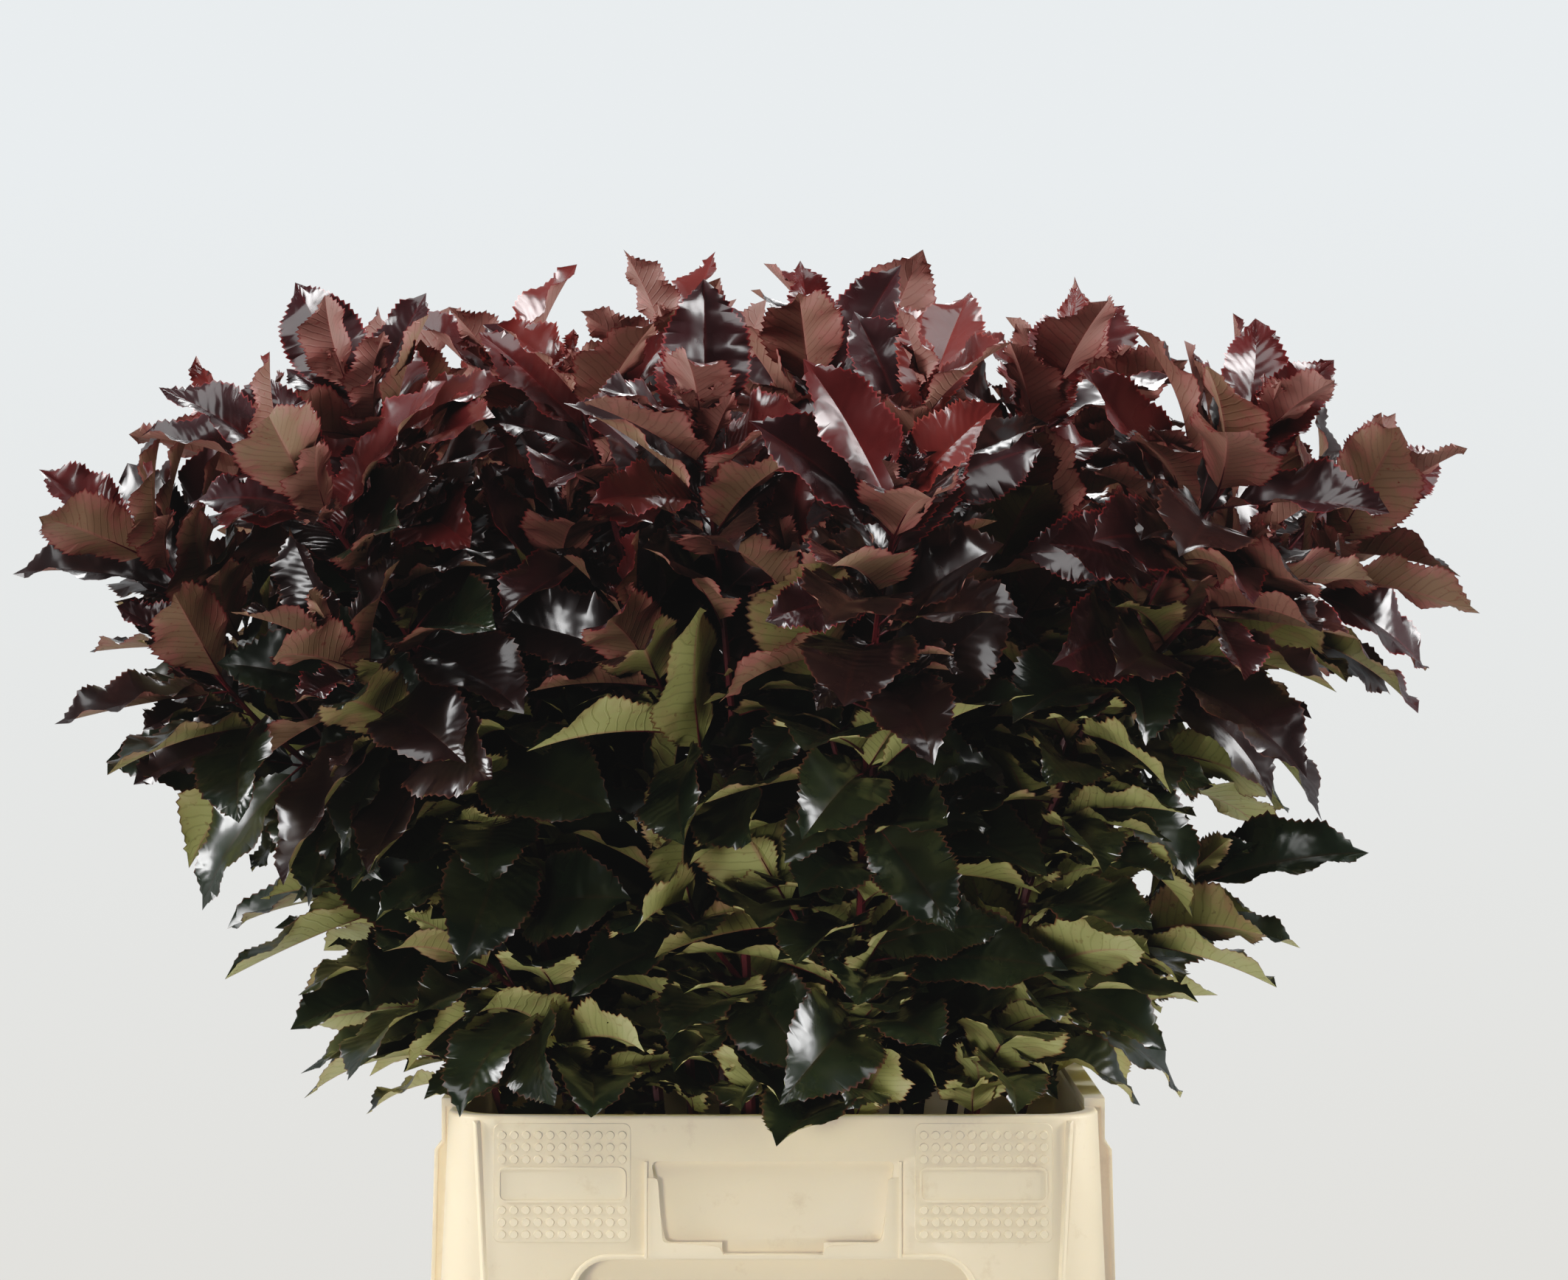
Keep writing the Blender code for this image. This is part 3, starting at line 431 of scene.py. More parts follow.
class Space:
    """What is already placed, so that a new leaf can keep clear of it."""

    def __init__(self):
        self.items = []

    def add(self, owner, points, faces, blade=None):
        """Keep a solid, and the blade it has if it is a leaf. Its owner is the mass that it is part of."""
        low, high = bounds_of(points)
        tree = BVHTree.FromPolygons(points, faces)
        self.items.append((owner, low, high, tree, blade))

    def meets(self, owner, points, faces, blade):
        """Whether a new leaf meets another mass, or whether its blade meets its own mass."""
        low, high = bounds_of(points)
        whole = BVHTree.FromPolygons(points, faces)
        for other, other_low, other_high, tree, other_blade in self.items:
            if any(low[i] > other_high[i] or high[i] < other_low[i] for i in range(3)):
                continue
            if other != owner and whole.overlap(tree):
                return True
            if other == owner and blade.overlap(tree):
                return True
            if other == owner and other_blade and whole.overlap(other_blade):
                return True
        return False


def bounds_of(points):
    low = [min(p[i] for p in points) for i in range(3)]
    high = [max(p[i] for p in points) for i in range(3)]
    return low, high


def tube_shell(axis, sides, steps):
    """Points and faces of a plain tube round an axis, to test leaves against."""
    points, faces = [], []
    for i in range(steps + 1):
        distance = axis.length * i / steps
        centre, along = axis.at(distance)
        across = along.orthogonal().normalized()
        for j in range(sides):
            arm = across.copy()
            arm.rotate(Quaternion(along, 2 * math.pi * j / sides))
            points.append(centre + arm * (axis.radius(distance) + LEAF_CLEARANCE))
    for i in range(steps):
        for j in range(sides):
            a, b = i * sides + j, i * sides + (j + 1) % sides
            faces.append((a, b, b + sides))
            faces.append((a, b + sides, a + sides))
    return points, faces


def blade_only(leaf):
    """A thin open sheet of a leaf's blade without its stalk, to test the leaves of one mass."""
    stations = (0.14, 0.34, 0.70, 0.97)
    points = [leaf.place(t, across) for t in stations for across in (-1, 0, 1)]
    faces = []
    for i in range(len(stations) - 1):
        for j in range(2):
            a = 3 * i + j
            faces.append((a, a + 1, a + 4))
            faces.append((a, a + 4, a + 3))
    return points, faces


def leaf_distances(axis, share, is_shoot):
    """Distances from an axis's foot at which its leaves sit, from the tip downwards.

    share says how far out the stem stands. Outer stems bear leaves down to the rim, inner ones higher up.
    """
    outer = min(1.0, max(0.0, (share - 0.35) / 0.4))
    bare = SHOOT_BARE_LENGTH if is_shoot else BARE_LENGTH[0] + (BARE_LENGTH[1] - BARE_LENGTH[0]) * outer
    step = INTERNODE[0] + (INTERNODE[1] - INTERNODE[0]) * outer
    distances = []
    from_tip = TIP_GAP
    while from_tip < axis.length - bare:
        distances.append(axis.length - from_tip)
        from_tip += TIP_INTERNODE + (step - TIP_INTERNODE) * min(1.0, from_tip / 0.07)
    return distances


def grow_leaves(lower, upper):
    """The leaves of every mass, dealt out in rounds from the tips down, so that no mass crowds another."""
    space = Space()
    for axis in lower:
        space.add(None, *tube_shell(axis, 6, 2))
    for number, axes in enumerate(upper):
        for axis in axes:
            space.add(number, *tube_shell(axis, 4, AXIS_STEPS))
    waiting = []
    for number, axes in enumerate(upper):
        share = stem_share(number)
        for order, axis in enumerate(axes):
            for place, distance in enumerate(leaf_distances(axis, share, order > 0)):
                waiting.append((place, number, order, distance))
    masses = [[] for _ in upper]
    for place, number, order, distance in sorted(waiting):
        dice = random.Random(f"{SEED} leaf {number} {order} {place}")
        azimuth = (number * 1.7 + order) + place * LEAF_TURN
        for attempt in range(LEAF_TRIES):
            slack = attempt / LEAF_TRIES
            leaf = leaf_on(upper[number][order], distance, azimuth, dice, slack)
            if leaf_meets_bucket(leaf):
                continue
            points, faces = leaf_shell(leaf, LEAF_CLEARANCE)
            blade = BVHTree.FromPolygons(*blade_only(leaf))
            if space.meets(number, points, faces, blade):
                continue
            space.add(number, points, faces, blade)
            masses[number].append(leaf)
            break
    return masses


def skirt_face(z):
    """How far out the skirt's outer face stands on the long sides at height z."""
    share = (BUCKET_HEIGHT - RIM_ROUND - z) / (SKIRT_DROP - RIM_ROUND)
    return RIM_DEPTH / 2 + SKIRT_FLARE * share


# Leaves that only the scene has: smaller ones in the gaps between the source's leaves, in rounds from large
# to small, and young ones at each tip
SPARE_SIZES = (1.0, 0.85, 0.70, 0.55)
SPARE_SHIFT = 0.006
SPARE_STEP = 0.022
SPARE_FOOT = 0.008
SPARE_LOW = 9
SPARE_LOW_STEP = 0.010
SPARE_TRIES = 8
SPARE_FAN = 1.8
SPARE_DROOP = (8, 22)
LOW_DROOP = 44
DROOP_LOW, DROOP_HIGH = 0.10, 0.34
RIM_HELD = 0.17
RIM_RAISE = 24
TIP_LEAVES = 3
TIP_LEAF_SIZE = (0.42, 0.62)
TIP_LEAF_STEP = 0.0012
TIP_LEAF_FOLD = (30, 48)

# Nodes of the source that the one moulding of the bucket stands for
BUCKET_NODES = ("bucket", "skirt_front", "skirt_back", "skirt_left", "skirt_right")
BUCKET_NODES += ("label_holder_front", "label_holder_back")

# Bucket details that only the scene has, in metres. Distances down are from the rim.
RIM_ROLL = 0.0025
CHEEK_RISE = 0.001
PAST = 0.010
HOLDER_CORNER = 0.004
MOUTH_CORNER = 0.003
CEILING_DROP = 0.009
CEILING_REACH = 0.0022
BEAD = 0.0020
BEAD_SINK = 0.0008
RIDGE_X = 0.0751
RIDGE_WIDTH = 0.0016
RIDGE_OUT = 0.0022
FRAME_OUT = 0.0011
# Right half of the frame round the label holder: across, and down
FRAME_HALF = (
    (0.0743, 0.0367), (0.0700, 0.0367), (0.0684, 0.0374), (0.0679, 0.0392), (0.0653, 0.0718), (0.0648, 0.0735),
    (0.0634, 0.0744), (0.0340, 0.0766), (0.0314, 0.0776), (0.0302, 0.0796), (0.0296, 0.0818), (0.0, 0.0820),
)
FRAME_FOOT = 0.0838

# How strongly the background paper lights the object, and how strongly the dark room in front does
PAPER_LIGHT = 0.22
DARK_ROOM = 0.025

# A camera's contrast in linear light: shade sinks, middle tones rise, and pale tones keep their place
TONE_CURVE = (
    (0.0037, 0.0037), (0.0070, 0.0052), (0.0130, 0.0097), (0.0212, 0.0176), (0.0319, 0.0319), (0.0612, 0.0723),
    (0.1022, 0.1329), (0.1559, 0.2016), (0.2232, 0.2705), (0.3050, 0.3278), (0.4020, 0.4020),
)

# Fine form of a leaf
BLADE_ROWS = 13
TEETH_A_ROW = 2
TOOTH_LEAN = 0.72
BLADE_HALF_THICKNESS = 0.00022
BLADE_CAMBER = 0.0012
EDGE_FRILL = 0.0005
CALM = 0.30
FRILL_WAVES = 8.5
LEAF_PIECES = 4

# Least redness of each tint but the last, from the top of the bunch down
TONE_STEPS = (1.50, 1.12, 0.72, 0.34)


def linear(code):
    """An sRGB hex colour as the linear numbers that Blender works in."""
    channels = [int(code[i:i + 2], 16) / 255 for i in (1, 3, 5)]
    return tuple(c / 12.92 if c <= 0.04045 else ((c + 0.055) / 1.055) ** 2.4 for c in channels)


def colour_setting(name, code, words):
    return bpy.props.FloatVectorProperty(
        name=name, description=words, subtype="COLOR", size=3, min=0, max=1, default=linear(code)
    )


class BucketSettings(bpy.types.PropertyGroup):
    """Sizes and colours of the bucket's dress."""

    plastic: colour_setting("Plastic", "#EEE0C3", "Cream of the moulded polypropylene")
    stain: colour_setting("Stain", "#BFA274", "Tan scuffs and water marks on the plastic")
    dot_width: bpy.props.FloatProperty(
        name="Dot width", description="Width of a raised dot", default=0.0055, unit="LENGTH"
    )
    dot_pitch: bpy.props.FloatProperty(
        name="Dot pitch", description="Distance between dots", default=0.0071, unit="LENGTH"
    )
    relief: bpy.props.FloatProperty(
        name="Relief", description="How far plates, frames and ribs stand out", default=0.0008, unit="LENGTH"
    )


class FoliageSettings(bpy.types.PropertyGroup):
    """Sizes and colours of the stems and leaves."""

    tooth: bpy.props.FloatProperty(
        name="Tooth", description="How far the teeth stand out of a leaf's edge", default=0.0025, unit="LENGTH"
    )
    twig: colour_setting("Twig", "#561C22", "Red purple of young twigs and leaf stalks")
    bark: colour_setting("Bark", "#43262A", "Dull purple brown of the cut stems")
    fresh_red: colour_setting("Fresh red", "#6A2A27", "Upper side of the youngest leaves")
    brick_red: colour_setting("Brick red", "#542020", "Upper side of young leaves")
    maroon: colour_setting("Maroon", "#33171A", "Upper side of leaves high on a shoot")
    dark_maroon: colour_setting("Dark maroon", "#1F1010", "Upper side of older leaves")
    dark_green: colour_setting("Dark green", "#161F12", "Upper side of the lowest leaves")
    rose: colour_setting("Rose", "#A6746A", "Under side of the youngest leaves")
    rosy_tan: colour_setting("Rosy tan", "#9E7162", "Under side of young leaves")
    tan: colour_setting("Tan", "#9F7E65", "Under side of leaves high on a shoot")
    olive: colour_setting("Olive", "#958F5C", "Under side of older leaves")
    yellow_green: colour_setting("Yellow green", "#BCBC7A", "Under side of the lowest leaves")
    flush: colour_setting("Flush", "#B8746C", "Pink that undersides take on towards their edges")


class StageSettings(bpy.types.PropertyGroup):
    """Light and ground."""

    floor: colour_setting("Floor", "#E4E3E0", "Pale floor")
    paper: colour_setting("Paper", "#E9EDEF", "Pale background paper")
    low_paper: colour_setting("Low paper", "#E2E1DD", "The paper's lower part, by the floor")
    veil: bpy.props.FloatProperty(
        name="Veil", description="How far stray light in the lens lifts black", default=0.0038, precision=4
    )
    top_light: bpy.props.FloatProperty(
        name="Top light", description="Power of the soft light above", default=18, unit="POWER"
    )
    side_light: bpy.props.FloatProperty(
        name="Side light", description="Power of the soft light on each side", default=8.2, unit="POWER"
    )
    back_light: bpy.props.FloatProperty(
        name="Back light", description="Power of the soft light high behind", default=9, unit="POWER"
    )
    front_light: bpy.props.FloatProperty(
        name="Front light", description="Power of the soft light low in front", default=1.04, unit="POWER"
    )


def deselect():
    if bpy.context.object and bpy.context.object.mode != "OBJECT":
        bpy.ops.object.mode_set(mode="OBJECT")
    bpy.ops.object.select_all(action="DESELECT")


def make_active(obj):
    deselect()
    obj.select_set(True)
    bpy.context.view_layer.objects.active = obj


def add_node(tree, kind, links=(), **settings):
    """One node of a material. Inputs are set by name or number, and links are (input, socket) pairs."""
    node = tree.nodes.new(kind)
    for name, value in settings.items():
        if name == "inputs":
            for key, number in value.items():
                node.inputs[key].default_value = number
        else:
            setattr(node, name, value)
    for key, socket in links:
        tree.links.new(socket, node.inputs[key])
    return node


def new_material(name, colour, roughness, **sockets):
    """A Principled material with its plain values on the shader's own sockets."""
    material = bpy.data.materials.new(name)
    material.use_nodes = True
    material.diffuse_color = (*colour, 1)
    shader = material.node_tree.nodes["Principled BSDF"]
    shader.inputs["Base Color"].default_value = (*colour, 1)
    shader.inputs["Roughness"].default_value = roughness
    for key, value in sockets.items():
        shader.inputs[key.replace("_", " ")].default_value = value
    return material, material.node_tree, shader


def mixed(tree, factor, first, second):
    """A colour mix. Each colour is a plain colour or a socket."""
    node = add_node(tree, "ShaderNodeMix", data_type="RGBA")
    for key, value in ((0, factor), (6, first), (7, second)):
        if isinstance(value, bpy.types.NodeSocket):
            tree.links.new(value, node.inputs[key])
        elif key == 0:
            node.inputs[key].default_value = value
        else:
            node.inputs[key].default_value = (*value, 1)
    return node.outputs[2]


def moulded_polypropylene(settings):
    """Polypropylene, injection moulded: waxy, slightly see-through to light, scuffed by years of use."""
    material, tree, shader = new_material(
        "moulded_polypropylene", tuple(settings.plastic), 0.42, IOR=1.49, Subsurface_Weight=0.06
    )
    shader.inputs["Subsurface Radius"].default_value = (0.006, 0.004, 0.002)
    shader.inputs["Subsurface Scale"].default_value = 0.5
    place = add_node(tree, "ShaderNodeTexCoord").outputs["Object"]
    # Faint clouding of the cream, a hand's breadth across
    cloud = add_node(tree, "ShaderNodeTexNoise", [("Vector", place)], inputs={"Scale": 9.0, "Detail": 3.0})
    # Water marks and scuffs a centimetre or two across, on a few places only
    marks = add_node(
        tree, "ShaderNodeTexNoise", [("Vector", place)], inputs={"Scale": 38.0, "Detail": 6.0, "Roughness": 0.7}
    )
    few = add_node(tree, "ShaderNodeValToRGB", [("Fac", marks.outputs[0])])
    few.color_ramp.elements[0].position = 0.60
    few.color_ramp.elements[1].position = 0.78
    share = add_node(
        tree, "ShaderNodeMath", [(0, few.outputs[0])], operation="MULTIPLY", inputs={1: 0.35}
    )
    light = tuple(min(1.0, c * 1.06) for c in settings.plastic)
    dull = tuple(c * 0.93 for c in settings.plastic)
    clouded = mixed(tree, cloud.outputs[0], light, dull)
    tree.links.new(mixed(tree, share.outputs[0], clouded, tuple(settings.stain)), shader.inputs["Base Color"])
    rough = add_node(
        tree, "ShaderNodeMapRange", [("Value", marks.outputs[0])],
        inputs={"From Min": 0.3, "From Max": 0.7, "To Min": 0.36, "To Max": 0.52},
    )
    tree.links.new(rough.outputs[0], shader.inputs["Roughness"])
    # Orange peel of the mould, drawn at 1.5 mm so that it shows
    grain = add_node(tree, "ShaderNodeTexNoise", [("Vector", place)], inputs={"Scale": 650.0, "Detail": 2.0})
    bump = add_node(
        tree, "ShaderNodeBump", [("Height", grain.outputs[0])], inputs={"Strength": 0.06, "Distance": 0.0004}
    )
    tree.links.new(bump.outputs[0], shader.inputs["Normal"])
    return material


def leaf_pattern(tree):
    """Masks from a leaf's own map, u across the blade and v along it: edge line, midrib and side veins."""
    place = add_node(tree, "ShaderNodeUVMap", uv_map="blade")
    parts = add_node(tree, "ShaderNodeSeparateXYZ", [(0, place.outputs[0])])
    centred = add_node(
        tree, "ShaderNodeMath", [(0, parts.outputs[0])], operation="MULTIPLY_ADD", inputs={1: 2.0, 2: -1.0}
    )
    across = add_node(tree, "ShaderNodeMath", [(0, centred.outputs[0])], operation="ABSOLUTE").outputs[0]
    edge = add_node(
        tree, "ShaderNodeMapRange", [("Value", across)], interpolation_type="SMOOTHSTEP",
        inputs={"From Min": 0.93, "From Max": 1.0},
    ).outputs[0]
    rib = add_node(
        tree, "ShaderNodeMapRange", [("Value", across)], interpolation_type="SMOOTHSTEP",
        inputs={"From Min": 0.075, "From Max": 0.02},
    ).outputs[0]
    # Side veins leave the midrib forwards, 6 to 7 mm apart: 15 to a blade of 100 mm, and wander by a millimetre
    solid = add_node(tree, "ShaderNodeTexCoord").outputs["Object"]
    wander = add_node(tree, "ShaderNodeTexNoise", [("Vector", solid)], inputs={"Scale": 55.0, "Detail": 1.0})
    along = add_node(
        tree, "ShaderNodeMath", [(0, wander.outputs[0]), (2, parts.outputs[1])],
        operation="MULTIPLY_ADD", inputs={1: 0.07},
    )
    slanted = add_node(
        tree, "ShaderNodeMath", [(0, across), (2, along.outputs[0])], operation="MULTIPLY_ADD", inputs={1: -0.16}
    )
    turns = add_node(
        tree, "ShaderNodeMath", [(0, slanted.outputs[0])], operation="MULTIPLY", inputs={1: 15 * 2 * math.pi}
    )
    wave = add_node(tree, "ShaderNodeMath", [(0, turns.outputs[0])], operation="SINE").outputs[0]
    veins = add_node(
        tree, "ShaderNodeMapRange", [("Value", wave)], interpolation_type="SMOOTHSTEP",
        inputs={"From Min": 0.70, "From Max": 1.0},
    ).outputs[0]
    return edge, rib, veins, wave


def glossy_cuticle(name, colour, edge_colour):
    """Upper side of a photinia leaf: a waxed skin, hard gloss over lightly crinkled tissue."""
    material, tree, shader = new_material(
        name, colour, 0.30, IOR=1.45, Specular_IOR_Level=0.25, Coat_Weight=1.0, Coat_Roughness=0.17, Coat_IOR=1.45
    )
    edge, rib, veins, wave = leaf_pattern(tree)
    place = add_node(tree, "ShaderNodeTexCoord").outputs["Object"]
    # Patches of lighter and darker pigment, 2 to 3 cm across
    patch = add_node(tree, "ShaderNodeTexNoise", [("Vector", place)], inputs={"Scale": 42.0, "Detail": 3.0})
    light = tuple(min(1.0, c * 1.35) for c in colour)
    dark = tuple(c * 0.70 for c in colour)
    body = mixed(tree, patch.outputs[0], light, dark)
    soft = add_node(tree, "ShaderNodeMath", [(0, rib)], operation="MULTIPLY", inputs={1: 0.14}).outputs[0]
    ribbed = mixed(tree, soft, body, edge_colour)
    tree.links.new(mixed(tree, edge, ribbed, edge_colour), shader.inputs["Base Color"])
    rough = add_node(
        tree, "ShaderNodeMapRange", [("Value", patch.outputs[0])],
        inputs={"From Min": 0.3, "From Max": 0.7, "To Min": 0.24, "To Max": 0.42},
    )
    tree.links.new(rough.outputs[0], shader.inputs["Roughness"])
    # The tissue puffs up between the side veins on some parts of a blade, by a tenth of a millimetre
    some = add_node(tree, "ShaderNodeTexNoise", [("Vector", place)], inputs={"Scale": 17.0, "Detail": 1.0})
    where = add_node(
        tree, "ShaderNodeMapRange", [("Value", some.outputs[0])], interpolation_type="SMOOTHSTEP",
        inputs={"From Min": 0.42, "From Max": 0.70, "To Max": 0.05},
    ).outputs[0]
    puffs = add_node(tree, "ShaderNodeMath", [(0, wave), (1, where)], operation="MULTIPLY").outputs[0]
    # And the whole blade is crinkled at a centimetre
    crinkle = add_node(
        tree, "ShaderNodeTexNoise", [("Vector", place)], inputs={"Scale": 40.0, "Detail": 2.0, "Roughness": 0.4}
    )
    height = add_node(
        tree, "ShaderNodeMath", [(0, crinkle.outputs[0]), (2, puffs)], operation="MULTIPLY_ADD", inputs={1: 1.0}
    )
    bump = add_node(
        tree, "ShaderNodeBump", [("Height", height.outputs[0])], inputs={"Strength": 1.0, "Distance": 0.0018}
    )
    tree.links.new(bump.outputs[0], shader.inputs["Normal"])
    tree.links.new(bump.outputs[0], shader.inputs["Coat Normal"])
    return material


def matt_underside(name, colour, flush, edge_colour, flushed=0.85):
    """Under side of a photinia leaf: matt, with raised veins, flushed with pink towards the edge and in blotches."""
    material, tree, shader = new_material(name, colour, 0.60, IOR=1.42)
    edge, rib, veins, wave = leaf_pattern(tree)
    place = add_node(tree, "ShaderNodeTexCoord").outputs["Object"]
    # Blotches about a centimetre across
    blotch = add_node(
        tree, "ShaderNodeTexNoise", [("Vector", place)], inputs={"Scale": 62.0, "Detail": 5.0, "Roughness": 0.6}
    )
    across = add_node(tree, "ShaderNodeUVMap", uv_map="blade").outputs[0]
    split = add_node(tree, "ShaderNodeSeparateXYZ", [(0, across)]).outputs[0]
    from_rib = add_node(
        tree, "ShaderNodeMath", [(0, split)], operation="SUBTRACT", inputs={1: 0.5}
    ).outputs[0]
    reach = add_node(tree, "ShaderNodeMath", [(0, from_rib)], operation="ABSOLUTE").outputs[0]
    spread = add_node(
        tree, "ShaderNodeMath", [(0, reach), (2, blotch.outputs[0])], operation="MULTIPLY_ADD", inputs={1: 0.55}
    ).outputs[0]
    some = add_node(
        tree, "ShaderNodeMapRange", [("Value", spread)], interpolation_type="SMOOTHSTEP",
        inputs={"From Min": 0.56, "From Max": 0.86, "To Max": flushed},
    ).outputs[0]
    body = mixed(tree, some, colour, flush)
    # Rust coloured flecks, 2 to 3 mm across
    fleck = add_node(tree, "ShaderNodeTexNoise", [("Vector", place)], inputs={"Scale": 260.0, "Detail": 2.0})
    flecks = add_node(
        tree, "ShaderNodeMapRange", [("Value", fleck.outputs[0])], interpolation_type="SMOOTHSTEP",
        inputs={"From Min": 0.62, "From Max": 0.74, "To Max": 0.5},
    ).outputs[0]
    flecked = mixed(tree, flecks, body, edge_colour)
    dark = tuple(c * 0.50 for c in colour)
    faint = add_node(tree, "ShaderNodeMath", [(0, veins)], operation="MULTIPLY", inputs={1: 0.34}).outputs[0]
    veined = mixed(tree, faint, flecked, dark)
    thin = add_node(tree, "ShaderNodeMath", [(0, rib)], operation="MULTIPLY", inputs={1: 0.5}).outputs[0]
    ribbed = mixed(tree, thin, veined, flush)
    tree.links.new(mixed(tree, edge, ribbed, edge_colour), shader.inputs["Base Color"])
    raised = add_node(
        tree, "ShaderNodeBump", [("Height", veins)], inputs={"Strength": 0.5, "Distance": 0.0003}
    )
    tree.links.new(raised.outputs[0], shader.inputs["Normal"])
    return material


def young_bark(name, colour, roughness):
    """Smooth bark of a young shoot: a dull skin with fine lengthways streaks and pale pores."""
    material, tree, shader = new_material(name, colour, roughness, IOR=1.45)
    place = add_node(tree, "ShaderNodeTexCoord").outputs["Object"]
    long_map = add_node(tree, "ShaderNodeMapping", [("Vector", place)], inputs={"Scale": (1.0, 1.0, 0.16)})
    # Streaks a millimetre wide and several long
    streak = add_node(
        tree, "ShaderNodeTexNoise", [("Vector", long_map.outputs[0])], inputs={"Scale": 520.0, "Detail": 3.0}
    )
    light = tuple(min(1.0, c * 1.7) for c in colour)
    dark = tuple(c * 0.6 for c in colour)
    tree.links.new(mixed(tree, streak.outputs[0], light, dark), shader.inputs["Base Color"])
    bump = add_node(
        tree, "ShaderNodeBump", [("Height", streak.outputs[0])], inputs={"Strength": 0.4, "Distance": 0.0004}
    )
    tree.links.new(bump.outputs[0], shader.inputs["Normal"])
    return material


def empty_mesh_object(name):
    mesh = bpy.data.meshes.new(name)
    obj = bpy.data.objects.new(name, mesh)
    bpy.context.scene.collection.objects.link(obj)
    return obj


def resized(leaf, size, width=1.0):
    """A leaf made smaller about its root."""
    leaf.length *= size
    leaf.stalk *= size
    leaf.half_width *= size * width
    return leaf


def lowness_at(point):
    """How low a point of the bunch lies, from 0 above DROOP_HIGH to 1 below DROOP_LOW."""
    height = point.z - BUCKET_HEIGHT
    return min(1.0, max(0.0, (DROOP_HIGH - height) / (DROOP_HIGH - DROOP_LOW)))


def drooped(leaf, dice):
    """A leaf turned about its root so that its tip sinks, the more the lower it sits."""
    angle = dice.uniform(*SPARE_DROOP) + LOW_DROOP * lowness_at(leaf.root) * dice.uniform(0.0, 1.25)
    # The bucket's rim holds up the lowest ones
    free = min(1.0, max(0.0, (leaf.root.z - BUCKET_HEIGHT) / RIM_HELD))
    angle = angle * free - RIM_RAISE * (1 - free)
    turn = Quaternion(leaf.side, -math.radians(angle))
    leaf.direction = turn @ leaf.direction
    leaf.normal = turn @ leaf.normal
    return leaf


def clear_of(items, blade, low, high):
    """Whether a new blade stands clear of every twig and blade in a Space."""
    for _, other_low, other_high, tree, other_blade in items:
        if any(low[i] > other_high[i] or high[i] < other_low[i] for i in range(3)):
            continue
        if blade.overlap(other_blade or tree):
            return False
    return True


def spare_places(axis, share, is_shoot):
    """Where spare leaves may sit: halfway between the source's own, and down an axis's bare foot."""
    own = leaf_distances(axis, share, is_shoot)
    places = [(a + b) / 2 for a, b in zip(own, own[1:])][1:]
    low = own[-1] if own else axis.length
    while low > SPARE_FOOT + SPARE_STEP:
        low -= SPARE_STEP
        places.append(low)
    if not is_shoot:
        places += [SPARE_FOOT + SPARE_LOW_STEP * i for i in range(SPARE_LOW)]
    return places


def grow_spare_leaves(lower, upper, masses):
    """Smaller leaves in the gaps that the source's leaves leave, each clear of all that stands there."""
    space = Space()
    for axis in lower:
        space.add(None, *tube_shell(axis, 6, 2))
    for number, (axes, leaves) in enumerate(zip(upper, masses)):
        for axis in axes:
            space.add(number, *tube_shell(axis, 4, AXIS_STEPS))
        for leaf in leaves:
            space.add(number, *leaf_shell(leaf, LEAF_CLEARANCE), BVHTree.FromPolygons(*blade_only(leaf)))
    spots = []
    for number, axes in enumerate(upper):
        for order, axis in enumerate(axes):
            for place, distance in enumerate(spare_places(axis, stem_share(number), order > 0)):
                spots.append((place, number, order, distance))
    spare = [[] for _ in upper]
    for turn, size in enumerate(SPARE_SIZES):
        for place, number, order, distance in sorted(spots, reverse=True):
            axis = upper[number][order]
            dice = random.Random(f"{SEED} spare {turn} {number} {order} {place}")
            for attempt in range(SPARE_TRIES):
                shift = dice.uniform(-SPARE_SHIFT, SPARE_SHIFT)
                # Low ones stand on a twig's outer side, and high ones behind it, where their upper sides show
                turned_in = dice.random() > lowness_at(axis.at(distance)[0])
                azimuth = dice.uniform(-SPARE_FAN, SPARE_FAN) + turned_in * math.pi
                leaf = drooped(resized(leaf_on(axis, distance + shift, azimuth, dice, 0.3), size), dice)
                if leaf_meets_bucket(leaf):
                    continue
                points, faces = blade_only(leaf)
                blade = BVHTree.FromPolygons(points, faces)
                if not clear_of(space.items, blade, *bounds_of(points)):
                    continue
                space.add(number, points, faces, blade)
                spare[number].append(leaf)
                break
    return spare


def grow_tip_leaves(axis, number, order):
    """The youngest leaves, which stand upright at a shoot's tip."""
    dice = random.Random(f"{SEED} tip {number} {order}")
    start = dice.uniform(0, 2 * math.pi)
    leaves = []
    for i in range(TIP_LEAVES):
        distance = axis.length - TIP_LEAF_STEP * (i + 1)
        leaf = leaf_on(axis, distance, start + i * LEAF_TURN, dice, 0.0)
        resized(leaf, dice.uniform(*TIP_LEAF_SIZE), 0.8)
        leaf.fold = math.radians(dice.uniform(*TIP_LEAF_FOLD))
        leaves.append(leaf)
    return leaves


def leaf_tones(leaf, dice):
    """Which tints a leaf takes above and below, from 0 for fresh red at the top to 4 for green at the foot."""
    height = leaf.root.z - BUCKET_HEIGHT
    redness = min(1.0, max(0.0, (height - 0.16) / 0.32))
    young = math.exp(-leaf.from_tip / 0.045)
    above = 1.24 * redness + 0.74 * young * (0.25 + 0.75 * redness)
    above += dice.uniform(-1, 1) * (0.20 + 0.42 * redness)
    below = 1.75 * redness + 0.4 * young + dice.uniform(-0.30, 0.30)
    return [sum(value < least for least in TONE_STEPS) for value in (above, below)]


